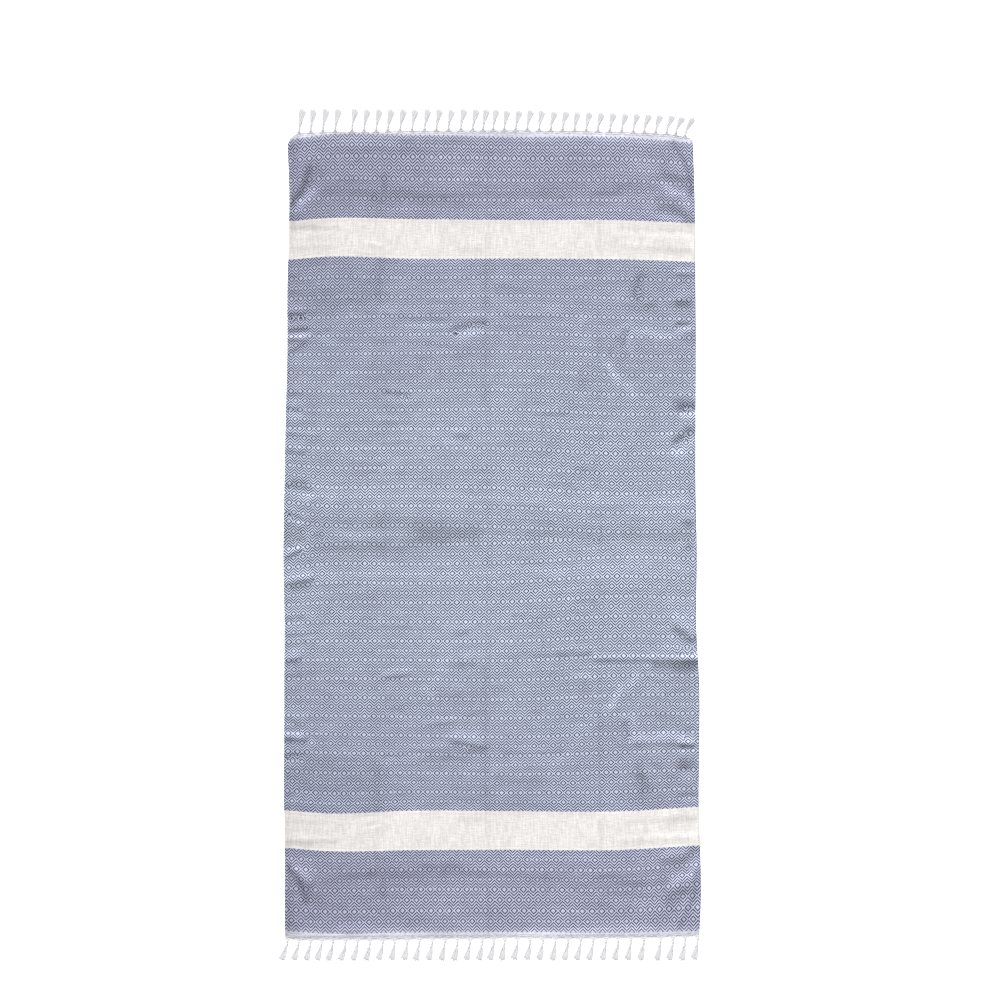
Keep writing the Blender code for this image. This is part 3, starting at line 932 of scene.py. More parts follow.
def add_coordinates(cloth, points):
    mesh = cloth.data
    corner_point = np.zeros(len(mesh.loops), int)
    mesh.loops.foreach_get("vertex_index", corner_point)
    totals = np.zeros(len(mesh.polygons), int)
    mesh.polygons.foreach_get("loop_total", totals)
    face_middles = np.zeros(len(mesh.polygons) * 3)
    mesh.polygons.foreach_get("center", face_middles)
    face_y = face_middles.reshape(-1, 3)[:, 1] / MM - SHIFT[1]
    x, y = points[:, 0], points[:, 1]

    # a point on the seam has one row number in the faces beyond it and another in those before it
    in_far_half = np.repeat(face_y > SEAM_Y, totals)
    far_rows, near_rows = row_at(x, y, True)[corner_point], row_at(x, y, False)[corner_point]
    rows = np.where(in_far_half, far_rows, near_rows)
    weave = mesh.uv_layers.new(name="weave")
    weave.uv.foreach_set("vector", np.stack([column_at(x, y)[corner_point], rows], -1).ravel())

    in_from_side = np.minimum(x - side_at(y, "left"), side_at(y, "right") - x)
    in_from_hem = np.minimum(hem_at(x, FAR_HEM) - y, y - hem_at(x, NEAR_HEM))
    border = mesh.uv_layers.new(name="border")
    border.uv.foreach_set("vector", np.stack([in_from_side, in_from_hem], -1)[corner_point].ravel())

    # the painted shade and painted highlights of the folds, one tone around 1 at each point
    tone = mesh.uv_layers.new(name="tone")
    marked = tone_and_painted_shading_at(x, y)[corner_point]
    tone.uv.foreach_set("vector", np.stack([marked, np.zeros_like(marked)], -1).ravel())

    share_x = ((x - x.min()) / np.ptp(x))[corner_point]
    share_y = ((y - y.min()) / np.ptp(y))[corner_point]
    under = np.repeat(np.arange(len(mesh.polygons)) >= top_faces + rim_faces, totals)
    top_u = MAP_MARGIN + share_x * (TOP_SHARE - 2 * MAP_MARGIN)
    under_u = TOP_SHARE + MAP_MARGIN + share_x * (1 - TOP_SHARE - 2 * MAP_MARGIN)
    map_v = MAP_MARGIN + share_y * (1 - 2 * MAP_MARGIN)
    bake = mesh.uv_layers.new(name="OFBake")
    bake.uv.foreach_set("vector", np.stack([np.where(under, under_u, top_u), map_v], -1).ravel())
    mesh.uv_layers.active = weave


add_coordinates(woven_cloth, cloth_points)
woven_cloth.data.shade_smooth()
print("maps:", [layer.name for layer in woven_cloth.data.uv_layers])

# %% [markdown]
# ## Wiring materials by hand
#
# Every finish below is a node tree. Writing one in Python gets long, so this small class keeps each
# node to one line: it makes the node, feeds its inputs with numbers or with other nodes' outputs,
# and hands back the output. Effects that several finishes share become node groups with named
# inputs and outputs, built once and used with different values.

# %% A short hand for nodes
Grain = namedtuple("Grain", "x_turns y_turns detail roughness")  # noise with a scale for each way


class Wiring:
    """Adds nodes to one tree."""

    def __init__(self, tree):
        self.tree = tree

    def feed(self, socket, value):
        if isinstance(value, bpy.types.NodeSocket):
            self.tree.links.new(value, socket)
        else:
            socket.default_value = value

    def node(self, kind, inputs=(), **settings):
        made = self.tree.nodes.new(kind)
        for name, value in settings.items():
            setattr(made, name, value)
        for key, value in dict(inputs).items():
            self.feed(made.inputs[key], value)
        return made

    def math(self, operation, *values):
        made = self.node("ShaderNodeMath", operation=operation)
        for socket, value in zip(made.inputs, values):
            self.feed(socket, value)
        return made.outputs[0]

    def ramp(self, value, low, high, to_low=0.0, to_high=1.0, smooth=True):
        """Runs from to_low to to_high as value goes from low to high."""
        inputs = {"Value": value, "From Min": low, "From Max": high, "To Min": to_low, "To Max": to_high}
        kind = "SMOOTHSTEP" if smooth else "LINEAR"
        return self.node("ShaderNodeMapRange", inputs, interpolation_type=kind).outputs["Result"]

    def mix(self, share, first, second, blend="MIX"):
        made = self.node("ShaderNodeMix", data_type="RGBA", blend_type=blend)
        self.feed(made.inputs["Factor"], share)
        self.feed(made.inputs["A"], first)
        self.feed(made.inputs["B"], second)
        return made.outputs["Result"]

    def parts(self, vector):
        """A vector's X, Y and Z."""
        return self.node("ShaderNodeSeparateXYZ", {"Vector": vector}).outputs

    def stored(self, name):
        """One of the mesh's own sets of coordinates, in parts."""
        return self.parts(self.node("ShaderNodeUVMap", uv_map=name).outputs["UV"])

    def combine(self, x, y):
        return self.node("ShaderNodeCombineXYZ", {"X": x, "Y": y}).outputs["Vector"]

    def noise(self, vector, scale, detail, roughness):
        inputs = {"Vector": vector, "Scale": scale, "Detail": detail, "Roughness": roughness}
        return self.node("ShaderNodeTexNoise", inputs).outputs["Fac"]

    def flecks(self, x, y, grain):
        """Noise whose flecks are longer one way than the other."""
        turned_x = self.math("MULTIPLY", x, grain.x_turns)
        turned_y = self.math("MULTIPLY", y, grain.y_turns)
        return self.noise(self.combine(turned_x, turned_y), 1.0, grain.detail, grain.roughness)


# %% Groups and finishes
def new_group(name, inputs, outputs):
    """An empty node group. An input takes a number, or a vector where the table says so."""
    tree = bpy.data.node_groups.new(name, "ShaderNodeTree")
    for socket_name, value in inputs.items():
        kind = "NodeSocketVector" if value == "vector" else "NodeSocketFloat"
        made = tree.interface.new_socket(name=socket_name, in_out="INPUT", socket_type=kind)
        if value != "vector":
            made.default_value = value
    for socket_name in outputs:
        tree.interface.new_socket(name=socket_name, in_out="OUTPUT", socket_type="NodeSocketFloat")
    given = tree.nodes.new("NodeGroupInput")
    result = tree.nodes.new("NodeGroupOutput")
    return Wiring(tree), given.outputs, result.inputs


def use_group(wiring, group, **values):
    """Places a group in a tree and feeds its inputs."""
    return wiring.node("ShaderNodeGroup", values, node_tree=group).outputs


def new_finish(name, surface):
    """A material, the wiring of its nodes, and its shader with the plain settings made."""
    material = bpy.data.materials.new(name)
    material.use_nodes = True
    shader = material.node_tree.nodes["Principled BSDF"]
    for setting, value in surface.items():
        shader.inputs[setting].default_value = value
    return material, Wiring(material.node_tree), shader


# %% [markdown]
# ## The diamond twill
#
# In the real cloth each pale warp end floats over two blue picks and dives under the next two. One
# end further on the whole step moves up by one pick, so the floats line up as slanting lines, and
# every six ends the slant turns back, which makes zigzags. Where rows of zigzags meet, two of them
# close into a small diamond.
#
# The rule is simple enough to write as one number. Let `t` run from 0 at a diamond's centre to 1 at
# a centre in the next row, growing with the picks above the row and the ends beside the column.
# Lines of equal `t` are the zigzags, so a cosine of `t` gives the stripes. Reading `t` only at the
# middle of each thread crossing turns smooth stripes into the small steps of a woven line.

# %% Diamond twill as a node group
ENDS = 12.0  # warp ends from one column of diamonds to the next
PICKS = 13.5  # weft picks from one row to the next
LINE_STEP = 0.2057  # in t, from one dark zigzag to the next: four threads
RISE = 0.689  # how much of t lies along a row's height, and the rest lies across half a column
DOT_START, DOT_FULL = 0.45, 0.34  # in line steps from a diamond's centre
BELOW_ZERO = 100.0  # more rows than lie below zero, and even, so that odd rows stay odd

wiring, given, result = new_group(
    "diamond_twill",
    {"Column": 0.0, "Row": 0.0, "Balance": 0.5, "Softness": 0.2},
    ["Warp On Top", "Thread Height", "Centre Dot"],
)
end_place = wiring.math("MULTIPLY_ADD", given["Column"], ENDS, 0.5)
pick_place = wiring.math("MULTIPLY", given["Row"], PICKS)
end_middle = wiring.math("FLOOR", end_place)  # a zigzag turns on a single end
pick_middle = wiring.math("ADD", wiring.math("FLOOR", pick_place), 0.5)
thread_column = wiring.math("DIVIDE", end_middle, ENDS)
thread_row = wiring.math("DIVIDE", pick_middle, PICKS)

whole_row = wiring.math("FLOOR", thread_row)
above_row = wiring.math("SUBTRACT", thread_row, whole_row)
odd_row = wiring.math("MODULO", wiring.math("ADD", whole_row, BELOW_ZERO), 2.0)
shifted = wiring.math("MULTIPLY_ADD", odd_row, -0.5, thread_column)
beside = wiring.math("ABSOLUTE", wiring.math("SUBTRACT", shifted, wiring.math("ROUND", shifted)))
t_up = wiring.math("MULTIPLY", above_row, RISE)
t = wiring.math("MULTIPLY_ADD", beside, 2 * (1 - RISE), t_up)
from_half = wiring.math("ABSOLUTE", wiring.math("SUBTRACT", t, 0.5))
turn = wiring.math("COSINE", wiring.math("MULTIPLY", from_half, 2 * np.pi / LINE_STEP))
dot = wiring.ramp(from_half, 0.5 - DOT_START * LINE_STEP, 0.5 - DOT_FULL * LINE_STEP)
stripe = wiring.math("MAXIMUM", wiring.math("MULTIPLY_ADD", turn, 0.5, 0.5), dot)
low = wiring.math("SUBTRACT", given["Balance"], given["Softness"])
high = wiring.math("ADD", given["Balance"], given["Softness"])
warp_on_top = wiring.ramp(stripe, low, high)

end_turn = wiring.math("MULTIPLY", end_place, np.pi)
pick_turn = wiring.math("MULTIPLY", pick_place, np.pi)
end_round = wiring.math("ABSOLUTE", wiring.math("SINE", end_turn))
pick_round = wiring.math("ABSOLUTE", wiring.math("SINE", pick_turn))
rounded = wiring.node("ShaderNodeMix", {"Factor": warp_on_top, "A": pick_round, "B": end_round})
wiring.feed(result["Warp On Top"], warp_on_top)
wiring.feed(result["Thread Height"], rounded.outputs["Result"])
wiring.feed(result["Centre Dot"], dot)
diamond_twill = wiring.tree
print("nodes in diamond_twill:", len(diamond_twill.nodes))

# %% [markdown]
# ## Spun cotton
#
# Cotton yarn is never even. It has thick slubs and thin places, fibres that catch the light and
# others that lie in shadow. Every thread in the towel shows this, in the cloth and in the tassels
# alike, so it is one shared group. It reads a place along and across the yarns in millimetres and
# gives a shade around 1 and a fine height. Noise stretched along the yarn does it: the eye takes
# long thin flecks for fibres.

# %% Spun cotton as a node group
YARN_PITCH = 0.59  # yarns in a millimetre
SLUBS = Grain(YARN_PITCH, 0.045, 3.0, 0.6)  # in turns a millimetre, across and along the yarn
FIBRES = Grain(6 * YARN_PITCH, 0.7, 2.0, 0.6)
SLUB_SHARE, FIBRE_SHARE = 1.3, 0.7

wiring, given, result = new_group(
    "spun_cotton",
    {"Along": 0.0, "Across": 0.0, "Unevenness": 0.1},
    ["Shade", "Fuzz"],
)
slubs = wiring.flecks(given["Across"], given["Along"], SLUBS)
fibres = wiring.flecks(given["Across"], given["Along"], FIBRES)
slub_part = wiring.math("MULTIPLY", slubs, SLUB_SHARE)
both = wiring.math("ADD", slub_part, wiring.math("MULTIPLY", fibres, FIBRE_SHARE))
around_one = wiring.math("MULTIPLY", wiring.math("SUBTRACT", both, 1.0), given["Unevenness"])
wiring.feed(result["Shade"], wiring.math("ADD", around_one, 1.0))
wiring.feed(result["Fuzz"], fibres)
spun_cotton = wiring.tree
print("nodes in spun_cotton:", len(spun_cotton.nodes))

# %% [markdown]
# ## Wear and painted light
#
# Indigo blue weft fades where the towel is handled, in clouds, streaks and patches, and towards
# the ends the cloth has gone a little violet. Light is painted in as well: the middle of the
# length, a clear steel blue with a bright warp, and the right-hand selvedge are painted brighter,
# and the left of the ends is painted darker. Nothing here follows a thread, so the effect reads the
# place on the towel itself, with soft noise to break its edges. Each named ramp below holds where
# it starts and stops and what it gives there.

# %% Wear and painted light as a node group
HALF_LENGTH, HALF_WIDTH = 0.88, 0.45  # of the cloth, in metres
BRIGHT_MIDDLE = (0.95, 0.0, -0.05, 0.42)  # from near the hems to the middle of the length
DARK_LEFT = (-1.05, 0.1, -0.36, 0.0)  # from the left selvedge to the middle of the width
DARK_LEFT_SHARE = (0.15, 0.70, 0.25, 1.0)  # and how much of that, going out to the hems
BRIGHT_RIGHT = (0.0, 1.0, 0.0, 0.04)  # from the middle of the width to the right selvedge
VIOLET_ENDS = (0.35, 0.95)
CLOUDS, CLOUD_SHARE, MEAN_BLEACH = (4.5, 3.0, 0.55), 0.35, 0.45  # scale, detail and roughness first
STREAKS, STREAK_SHARE = Grain(9.0, 60.0, 3.0, 0.6), 1.0  # in turns a metre
PATCHES, PATCH_SHARE = Grain(24.0, 75.0, 2.0, 0.6), 0.8

wiring, given, result = new_group("wear_and_painted_light", {"Place": "vector"}, ["Bleached", "Violet"])
parts = wiring.parts(given["Place"])
up_share = wiring.math("DIVIDE", wiring.math("ABSOLUTE", parts["Y"]), HALF_LENGTH)
side_share = wiring.math("DIVIDE", parts["X"], HALF_WIDTH)
# Painted light and painted shade: brighter towards the middle of the length and the right, darker at the
# left of the ends
middle = wiring.ramp(up_share, *BRIGHT_MIDDLE, smooth=False)
left_shade = wiring.ramp(side_share, *DARK_LEFT)
left_shade = wiring.math("MULTIPLY", left_shade, wiring.ramp(up_share, *DARK_LEFT_SHARE))
right_glow = wiring.ramp(side_share, *BRIGHT_RIGHT, smooth=False)
sides = wiring.math("ADD", left_shade, right_glow)

clouds = wiring.math("SUBTRACT", wiring.noise(given["Place"], *CLOUDS), 0.5)
streaks = wiring.math("SUBTRACT", wiring.flecks(parts["X"], parts["Y"], STREAKS), 0.5)
patches = wiring.math("SUBTRACT", wiring.flecks(parts["X"], parts["Y"], PATCHES), 0.5)
uneven = wiring.math("MULTIPLY_ADD", clouds, CLOUD_SHARE, MEAN_BLEACH)
uneven = wiring.math("MULTIPLY_ADD", streaks, STREAK_SHARE, uneven)
uneven = wiring.math("MULTIPLY_ADD", patches, PATCH_SHARE, uneven)
wiring.feed(result["Bleached"], wiring.math("ADD", wiring.math("ADD", middle, sides), uneven))
wiring.feed(result["Violet"], wiring.ramp(up_share, *VIOLET_ENDS))
wear_and_painted_light = wiring.tree
print("nodes in wear_and_painted_light:", len(wear_and_painted_light.nodes))

# %% [markdown]
# ## The finish of the cloth
#
# Now the groups come together. The row number says which zone a point is in: the hem outside row 0,
# the end panel up to row 8, the cream band up to row 12 and the field beyond. Each zone has its own
# colours, and the borders are as sharp as one pick. The back of the cloth uses the same finish with
# warp and weft changed over, because wherever the warp shows on one face the weft shows on the
# other.

# %% Colours of the yarns
BLUE_WEFT = (0.067, 0.080, 0.128, 1)
VIOLET_WEFT = (0.071, 0.074, 0.125, 1)
DULL_WARP = (0.470, 0.500, 0.630, 1)
DULL_VIOLET_WARP = (0.470, 0.480, 0.625, 1)
BRIGHT_WARP = (0.690, 0.755, 0.900, 1)
BRIGHT_VIOLET_WARP = (0.700, 0.725, 0.905, 1)
CREAM = (0.890, 0.862, 0.830, 1)
ROSE_CREAM = (0.700, 0.672, 0.652, 1)
HEM_PALE = (0.720, 0.728, 0.800, 1)
HEM_GREY = (0.560, 0.565, 0.620, 1)
HEM_SHADOW = (0.380, 0.375, 0.445, 1)
HEM_GROOVE = 4.2  # from the edge, in millimetres
HEM_START, HEM_FADE = 0.03, 0.10  # in rows: where the last zigzags fade into the hem
PALE_ROWS, PALE_SHARE = 0.55, 0.18  # and how far inside the wear has paled them
HEM_COVER = 0.94  # the last picks still show through a little
BORDER_SOFTNESS = 0.03  # in rows
COLUMN_WIDTH, ROW_HEIGHT = 20.4, 21.0  # of one diamond, in millimetres

# %% The colours of each zone
DOT_SHADE = 0.12  # the long floats at a diamond's centre lie a little lower
BAND_FLECKS = Grain(0.05, 0.35, 4.0, 0.65)  # in turns a millimetre: long from side to side
BAND_STREAKS = Grain(0.30, 0.03, 3.0, 0.6)  # and long from hem to hem
CREAM_TONES = (0.80, 1.18)
ROSE_STARTS, ROSE_STOPS, ROSE_SHARE = (0.20, 0.30), (0.45, 0.33), 0.45  # in rows from a border
HEM_MOTTLE = Grain(0.12, 0.4, 3.0, 0.65)
GROOVE_SIDES, GROOVE_BREAKS, GROOVE_SHARE = (2.2, 0.3), (0.62, 0.42), 0.7
PALE_MOTTLE = (0.38, 0.60)


def tinted(wiring, colour, shade):
    """A colour made lighter or darker by a shade around 1."""
    grey = wiring.node("ShaderNodeCombineColor", {"Red": shade, "Green": shade, "Blue": shade})
    return wiring.mix(1.0, colour, grey.outputs["Color"], "MULTIPLY")


def twill_colour(wiring, face, twill, wear_and_light, warp_shade, weft_shade):
    on_top = twill["Warp On Top"]
    in_dot = wiring.ramp(twill["Centre Dot"], 0, 1, 1, 1 - DOT_SHADE)
    warp_shade = wiring.math("MULTIPLY", warp_shade, in_dot)
    dull = wiring.mix(wear_and_light["Violet"], DULL_WARP, DULL_VIOLET_WARP)
    bright = wiring.mix(wear_and_light["Violet"], BRIGHT_WARP, BRIGHT_VIOLET_WARP)
    warp = tinted(wiring, wiring.mix(wear_and_light["Bleached"], dull, bright), warp_shade)
    weft = tinted(wiring, wiring.mix(wear_and_light["Violet"], BLUE_WEFT, VIOLET_WEFT), weft_shade)
    return wiring.mix(on_top, weft, warp) if face else wiring.mix(on_top, warp, weft)


def band_colour(wiring, across, along, to_border):
    """Plain weave in cream, with long flecks both ways and a rose pick or two inside each border."""
    flecks = wiring.flecks(across, along, BAND_FLECKS)
    streaks = wiring.flecks(across, along, BAND_STREAKS)
    tone = wiring.ramp(wiring.math("ADD", flecks, streaks), *CREAM_TONES, smooth=False)
    cream = wiring.mix(tone, ROSE_CREAM, CREAM)
    past_start = wiring.ramp(to_border, *ROSE_STARTS)
    rose = wiring.math("MULTIPLY", past_start, wiring.ramp(to_border, *ROSE_STOPS))
    return wiring.mix(wiring.math("MULTIPLY", rose, ROSE_SHARE), cream, ROSE_CREAM)


def hem_colour(wiring, across, from_hem):
    """Pale and mottled, with a darker groove along the middle of the turning."""
    mottle = wiring.flecks(across, from_hem, HEM_MOTTLE)
    off_groove = wiring.math("ABSOLUTE", wiring.math("SUBTRACT", from_hem, HEM_GROOVE))
    groove = wiring.ramp(off_groove, *GROOVE_SIDES)
    groove = wiring.math("MULTIPLY", groove, wiring.ramp(mottle, *GROOVE_BREAKS))
    pale = wiring.mix(wiring.ramp(mottle, *PALE_MOTTLE), HEM_GREY, HEM_PALE)
    return wiring.mix(wiring.math("MULTIPLY", groove, GROOVE_SHARE), pale, HEM_SHADOW)


# %% The finish of the face and of the back
WARP_UNEVENNESS, WEFT_UNEVENNESS = 0.30, 0.40
SLACK, SLACK_SHARE, MEAN_BALANCE = (0.11, 2.0, 0.6), 0.6, 0.5  # scale, detail and roughness first
CLOTH_BUMP = {"Distance": 0.0003, "Strength": 0.6}
CLOTH_SURFACE = {
    "Roughness": 0.85,
    "Specular IOR Level": 0.2,
    "Sheen Weight": 0.1,
    "Sheen Roughness": 0.5,
}


def woven_finish(name, face):
    """Twill, bands and hems. The back shows weft where the face shows warp."""
    material, wiring, shader = new_finish(name, CLOTH_SURFACE)
    weave, border, tone = wiring.stored("weave"), wiring.stored("border"), wiring.stored("tone")
    row, from_hem = weave["Y"], border["Y"]
    across = wiring.math("MULTIPLY", weave["X"], COLUMN_WIDTH)
    along = wiring.math("MULTIPLY", row, ROW_HEIGHT)

    wear_and_light = use_group(wiring, wear_and_painted_light, Place=wiring.node("ShaderNodeTexCoord").outputs["Object"])
    warp = use_group(wiring, spun_cotton, Along=along, Across=across, Unevenness=WARP_UNEVENNESS)
    weft = use_group(wiring, spun_cotton, Along=across, Across=along, Unevenness=WEFT_UNEVENNESS)
    slack = wiring.math("SUBTRACT", wiring.noise(wiring.combine(across, along), *SLACK), 0.5)
    balance = wiring.math("MULTIPLY_ADD", slack, SLACK_SHARE, MEAN_BALANCE)
    twill = use_group(wiring, diamond_twill, Column=weave["X"], Row=row, Balance=balance)
    colour = twill_colour(wiring, face, twill, wear_and_light, warp["Shade"], weft["Shade"])

    into_band = wiring.math("SUBTRACT", row, float(HEM_ROWS))
    out_of_band = wiring.math("SUBTRACT", float(BAND_END), row)
    to_border = wiring.math("MINIMUM", into_band, out_of_band)
    cream = band_colour(wiring, across, along, to_border)
    colour = wiring.mix(wiring.ramp(to_border, -BORDER_SOFTNESS, BORDER_SOFTNESS), colour, cream)
    in_hem = wiring.ramp(row, HEM_START, HEM_START - HEM_FADE, 0.0, HEM_COVER)
    in_hem = wiring.math("MAXIMUM", in_hem, wiring.ramp(row, PALE_ROWS, HEM_START, 0.0, PALE_SHARE))
    colour = wiring.mix(in_hem, colour, hem_colour(wiring, across, from_hem))

    # the tone map paints the folds' shade and highlights into the colour
    wiring.feed(shader.inputs["Base Color"], tinted(wiring, colour, tone["X"]))
    bump = wiring.node("ShaderNodeBump", {"Height": twill["Thread Height"], **CLOTH_BUMP})
    wiring.feed(shader.inputs["Normal"], bump.outputs["Normal"])
    return material


for finish in (woven_finish("blue_twill_face", True), woven_finish("blue_twill_back", False)):
    woven_cloth.data.materials.append(finish)
    print(finish.name, "nodes:", len(finish.node_tree.nodes))

# %% [markdown]
# ## The tassels
#
# A tassel here is a bundle of warp ends that the weaver left uncut. Each bundle is split in two,
# both halves are twisted the same way and then let wind round each other, and a turn of yarn or a
# small knot holds them. Past the twist the yarns spring open into a soft brush with a cut end.
#
# One tassel could be a swept tube, but its yarns show, so each yarn is a thin tube of its own. A
# yarn's route is worked out in numpy as a line of points: first its place in the twisted stem, then
# its place in the open brush, with a smooth change from one to the other. One helper turns all the
# lines of a tassel into tubes at once.

# %% Tubes round lines of points
YARN_SIDES, FAN_SIDES = 5, 4


def tube_mesh(lines, radii, sides):
    """Points, side faces and end faces of one tube round each line. lines is yarns x steps x 3."""
    yarns, steps, _ = lines.shape
    run = np.gradient(lines, axis=1)
    run /= np.linalg.norm(run, axis=-1, keepdims=True)
    side = np.cross(run, [0.0, 0.0, 1.0])
    side /= np.maximum(np.linalg.norm(side, axis=-1, keepdims=True), 1e-6)
    up = np.cross(side, run)
    turn = np.arange(sides) * 2 * np.pi / sides
    ring = np.cos(turn)[:, None] * side[:, :, None, :] + np.sin(turn)[:, None] * up[:, :, None, :]
    points = lines[:, :, None, :] + radii[:, :, None, None] * ring
    number_of = np.arange(yarns * steps * sides).reshape(yarns, steps, sides)
    here, beyond = number_of[:, :-1], number_of[:, 1:]
    quads = np.stack([here, np.roll(here, -1, -1), np.roll(beyond, -1, -1), beyond], -1).reshape(-1, 4)
    ends = [ring[::-1] for ring in number_of[:, 0].tolist()] + number_of[:, -1].tolist()
    return points.reshape(-1, 3), quads.tolist(), ends


class YarnWork:
    """Collects tubes for one piece."""

    def __init__(self):
        self.points, self.faces, self.smooth, self.count = [], [], [], 0

    def add(self, lines, radii, sides=YARN_SIDES):
        lines = np.asarray(lines, float)
        radii = np.broadcast_to(radii, lines.shape[:2])
        points, quads, ends = tube_mesh(lines, radii, sides)
        self.faces += [[number + self.count for number in face] for face in quads + ends]
        self.smooth += [True] * len(quads) + [False] * len(ends)  # cut ends are flat
        self.points.append(points)
        self.count += len(points)

    def piece(self, name, finish):
        points = np.concatenate(self.points)
        points[:, 2] = np.maximum(points[:, 2], 0.0)
        made = new_piece(name, points, self.faces)
        made.data.materials.append(finish)
        made.data.polygons.foreach_set("use_smooth", self.smooth)
        return made


# %% [markdown]
# The tassels aren't spaced evenly and all lean a little the same way, because the towel was shaken
# out and laid down in one sweep. The table gives a few of them, and the others fall between.

# %% Where the tassels stand
Tassel = namedtuple("Tassel", "number root lean tip")
TASSELS = 34
FAR_FRINGE = [
    Tassel(0, -417.5, 5.5, 931.4),
    Tassel(3, -339.1, 6.0, 931.4),
    Tassel(4, -301.9, 6.0, 931.4),
    Tassel(14, -36.9, 5.6, 930.4),
    Tassel(16, 7.6, 6.0, 929.4),
    Tassel(18, 57.0, 6.0, 928.4),
    Tassel(24, 211.2, 6.2, 924.0),
    Tassel(28, 314.2, 8.3, 920.0),
    Tassel(31, 387.2, 10.5, 916.3),
    Tassel(33, 427.5, 17.0, 911.5),
]
NEAR_FRINGE = [
    Tassel(0, -442.5, -11.5, -931.4),
    Tassel(1, -417.5, -9.0, -931.4),
    Tassel(4, -343.3, -8.4, -931.0),
    Tassel(10, -180.6, -6.0, -931.4),
    Tassel(16, -16.3, -6.0, -931.4),
    Tassel(18, 33.6, -6.2, -931.0),
    Tassel(24, 199.0, -6.8, -931.4),
    Tassel(29, 337.1, -6.0, -931.0),
    Tassel(30, 374.8, -6.8, -931.4),
    Tassel(33, 455.5, -6.5, -931.0),
]

# %% The measures of a tassel
YARNS, YARN_STEPS = 14, 28
YARNS_ROUND_PLY = 6  # and one more in its middle
PLY_RADIUS, YARN_OFFSET = 0.80, 1.10
STEM_YARN, BRUSH_YARN = 0.95, 1.45  # radii: tight in the twist, open in the brush
STEM_HEIGHT, BRUSH_HEIGHT = 1.75, 1.9
TWIST_LENGTH, UNTWIST = 15.0, 0.55  # how long one turn is, and the share that is lost by the tip
YARN_TWIST = 1.5  # turns of a yarn in its ply for each turn of the plies
STARTS_OPENING, FULLY_OPEN, OPENING_CURVE = (0.15, 0.25), 0.84, 0.8  # the first two of the length
BRUSH_HALF_WIDTH, BRUSH_HALF_HEIGHT, BRUSH_ROUNDNESS = 6.6, 0.20, 0.8
LEAN_SHARE, LEAN_CURVE = 0.35, 1.6  # how far the brush lies to one side, and how late it bends
WANDER, WANDER_TURNS = 0.25, (1.5, 3.0)
SHORT_SIDE, SHORT_FROM = 0.10, -0.2  # the yarns on the side that it leans to are cut shorter
CUT_UNEVENNESS, CUT_SCALLOP = 0.02, 0.02
TAPER, TAPER_FROM = 0.35, 0.93
FLOOR_GAP = 0.05


# %% One tassel
def tassel_yarns(root_x, root_y, lean, tip_y, outward, rng):
    """Yarn lines of one tassel, and their radii."""
    length = abs(tip_y - root_y)
    step = np.linspace(0.0, 1.0, YARN_STEPS)
    opens = rng.uniform(*STARTS_OPENING)
    open_share = np.clip((step - opens) / (FULLY_OPEN - opens), 0, 1)[None, :] ** OPENING_CURVE
    twist = 2 * np.pi * length * step / TWIST_LENGTH * (1 - UNTWIST * smooth_step(step, opens, 1.0))
    twist = twist + rng.uniform(0, 2 * np.pi)

    ply = np.arange(YARNS) % 2
    in_ply = np.arange(YARNS) // 2
    around = in_ply * 2 * np.pi / YARNS_ROUND_PLY
    yarn_out = np.where(in_ply == YARNS_ROUND_PLY, 0.0, YARN_OFFSET)
    ply_turn = twist[None, :] + np.pi * ply[:, None]
    yarn_turn = around[:, None] - YARN_TWIST * twist[None, :]
    stem_x = PLY_RADIUS * np.cos(ply_turn) + yarn_out[:, None] * np.cos(yarn_turn)
    stem_z = PLY_RADIUS * np.sin(ply_turn) + yarn_out[:, None] * np.sin(yarn_turn)

    # in the brush the yarns lie side by side, fanned towards the side that the tassel leans to
    lay = (np.argsort(rng.random(YARNS)) + 0.5) / YARNS * 2 - 1
    toward = np.sign(lean)
    brush_x = BRUSH_HALF_WIDTH * (lay + LEAN_SHARE * toward)
    layer = np.where(np.argsort(np.argsort(lay)) % 2, 1.0, -1.0)
    brush_z = BRUSH_HALF_HEIGHT * layer * np.sqrt(1 - BRUSH_ROUNDNESS * lay**2)
    sway = rng.normal(0, WANDER, (YARNS, 1))
    wander = sway * np.sin(step * np.pi * rng.uniform(*WANDER_TURNS, (YARNS, 1)))

    reach = 1 - SHORT_SIDE * smooth_step(lay * toward, SHORT_FROM, 1.0)
    reach = reach - rng.uniform(0.0, CUT_UNEVENNESS, YARNS)
    reach += CUT_SCALLOP * np.cos(lay * np.pi * 2)
    along = step[None, :] * (1 + (reach[:, None] - 1) * open_share)
    middle_x = root_x + lean * along**LEAN_CURVE
    x = middle_x + stem_x * (1 - open_share) + (brush_x[:, None] + wander) * open_share
    y = root_y + outward * length * along
    z = (STEM_HEIGHT + stem_z) * (1 - open_share) + (BRUSH_HEIGHT + brush_z[:, None]) * open_share
    radius = STEM_YARN + (BRUSH_YARN - STEM_YARN) * open_share
    radius = radius * (1 - TAPER * smooth_step(step, TAPER_FROM, 1.0))[None, :] * np.ones((YARNS, 1))
    z = np.maximum(z, radius + FLOOR_GAP)
    return np.stack([x, y, z], -1), radius


# %% [markdown]
# At its root each bundle fans in from the cloth: eleven threads gather from a width of about 15 mm.
# Most tassels also have a turn of yarn near the root that keeps the twist from running back into
# the cloth. A thin twine lies along the hem and locks the last pick.

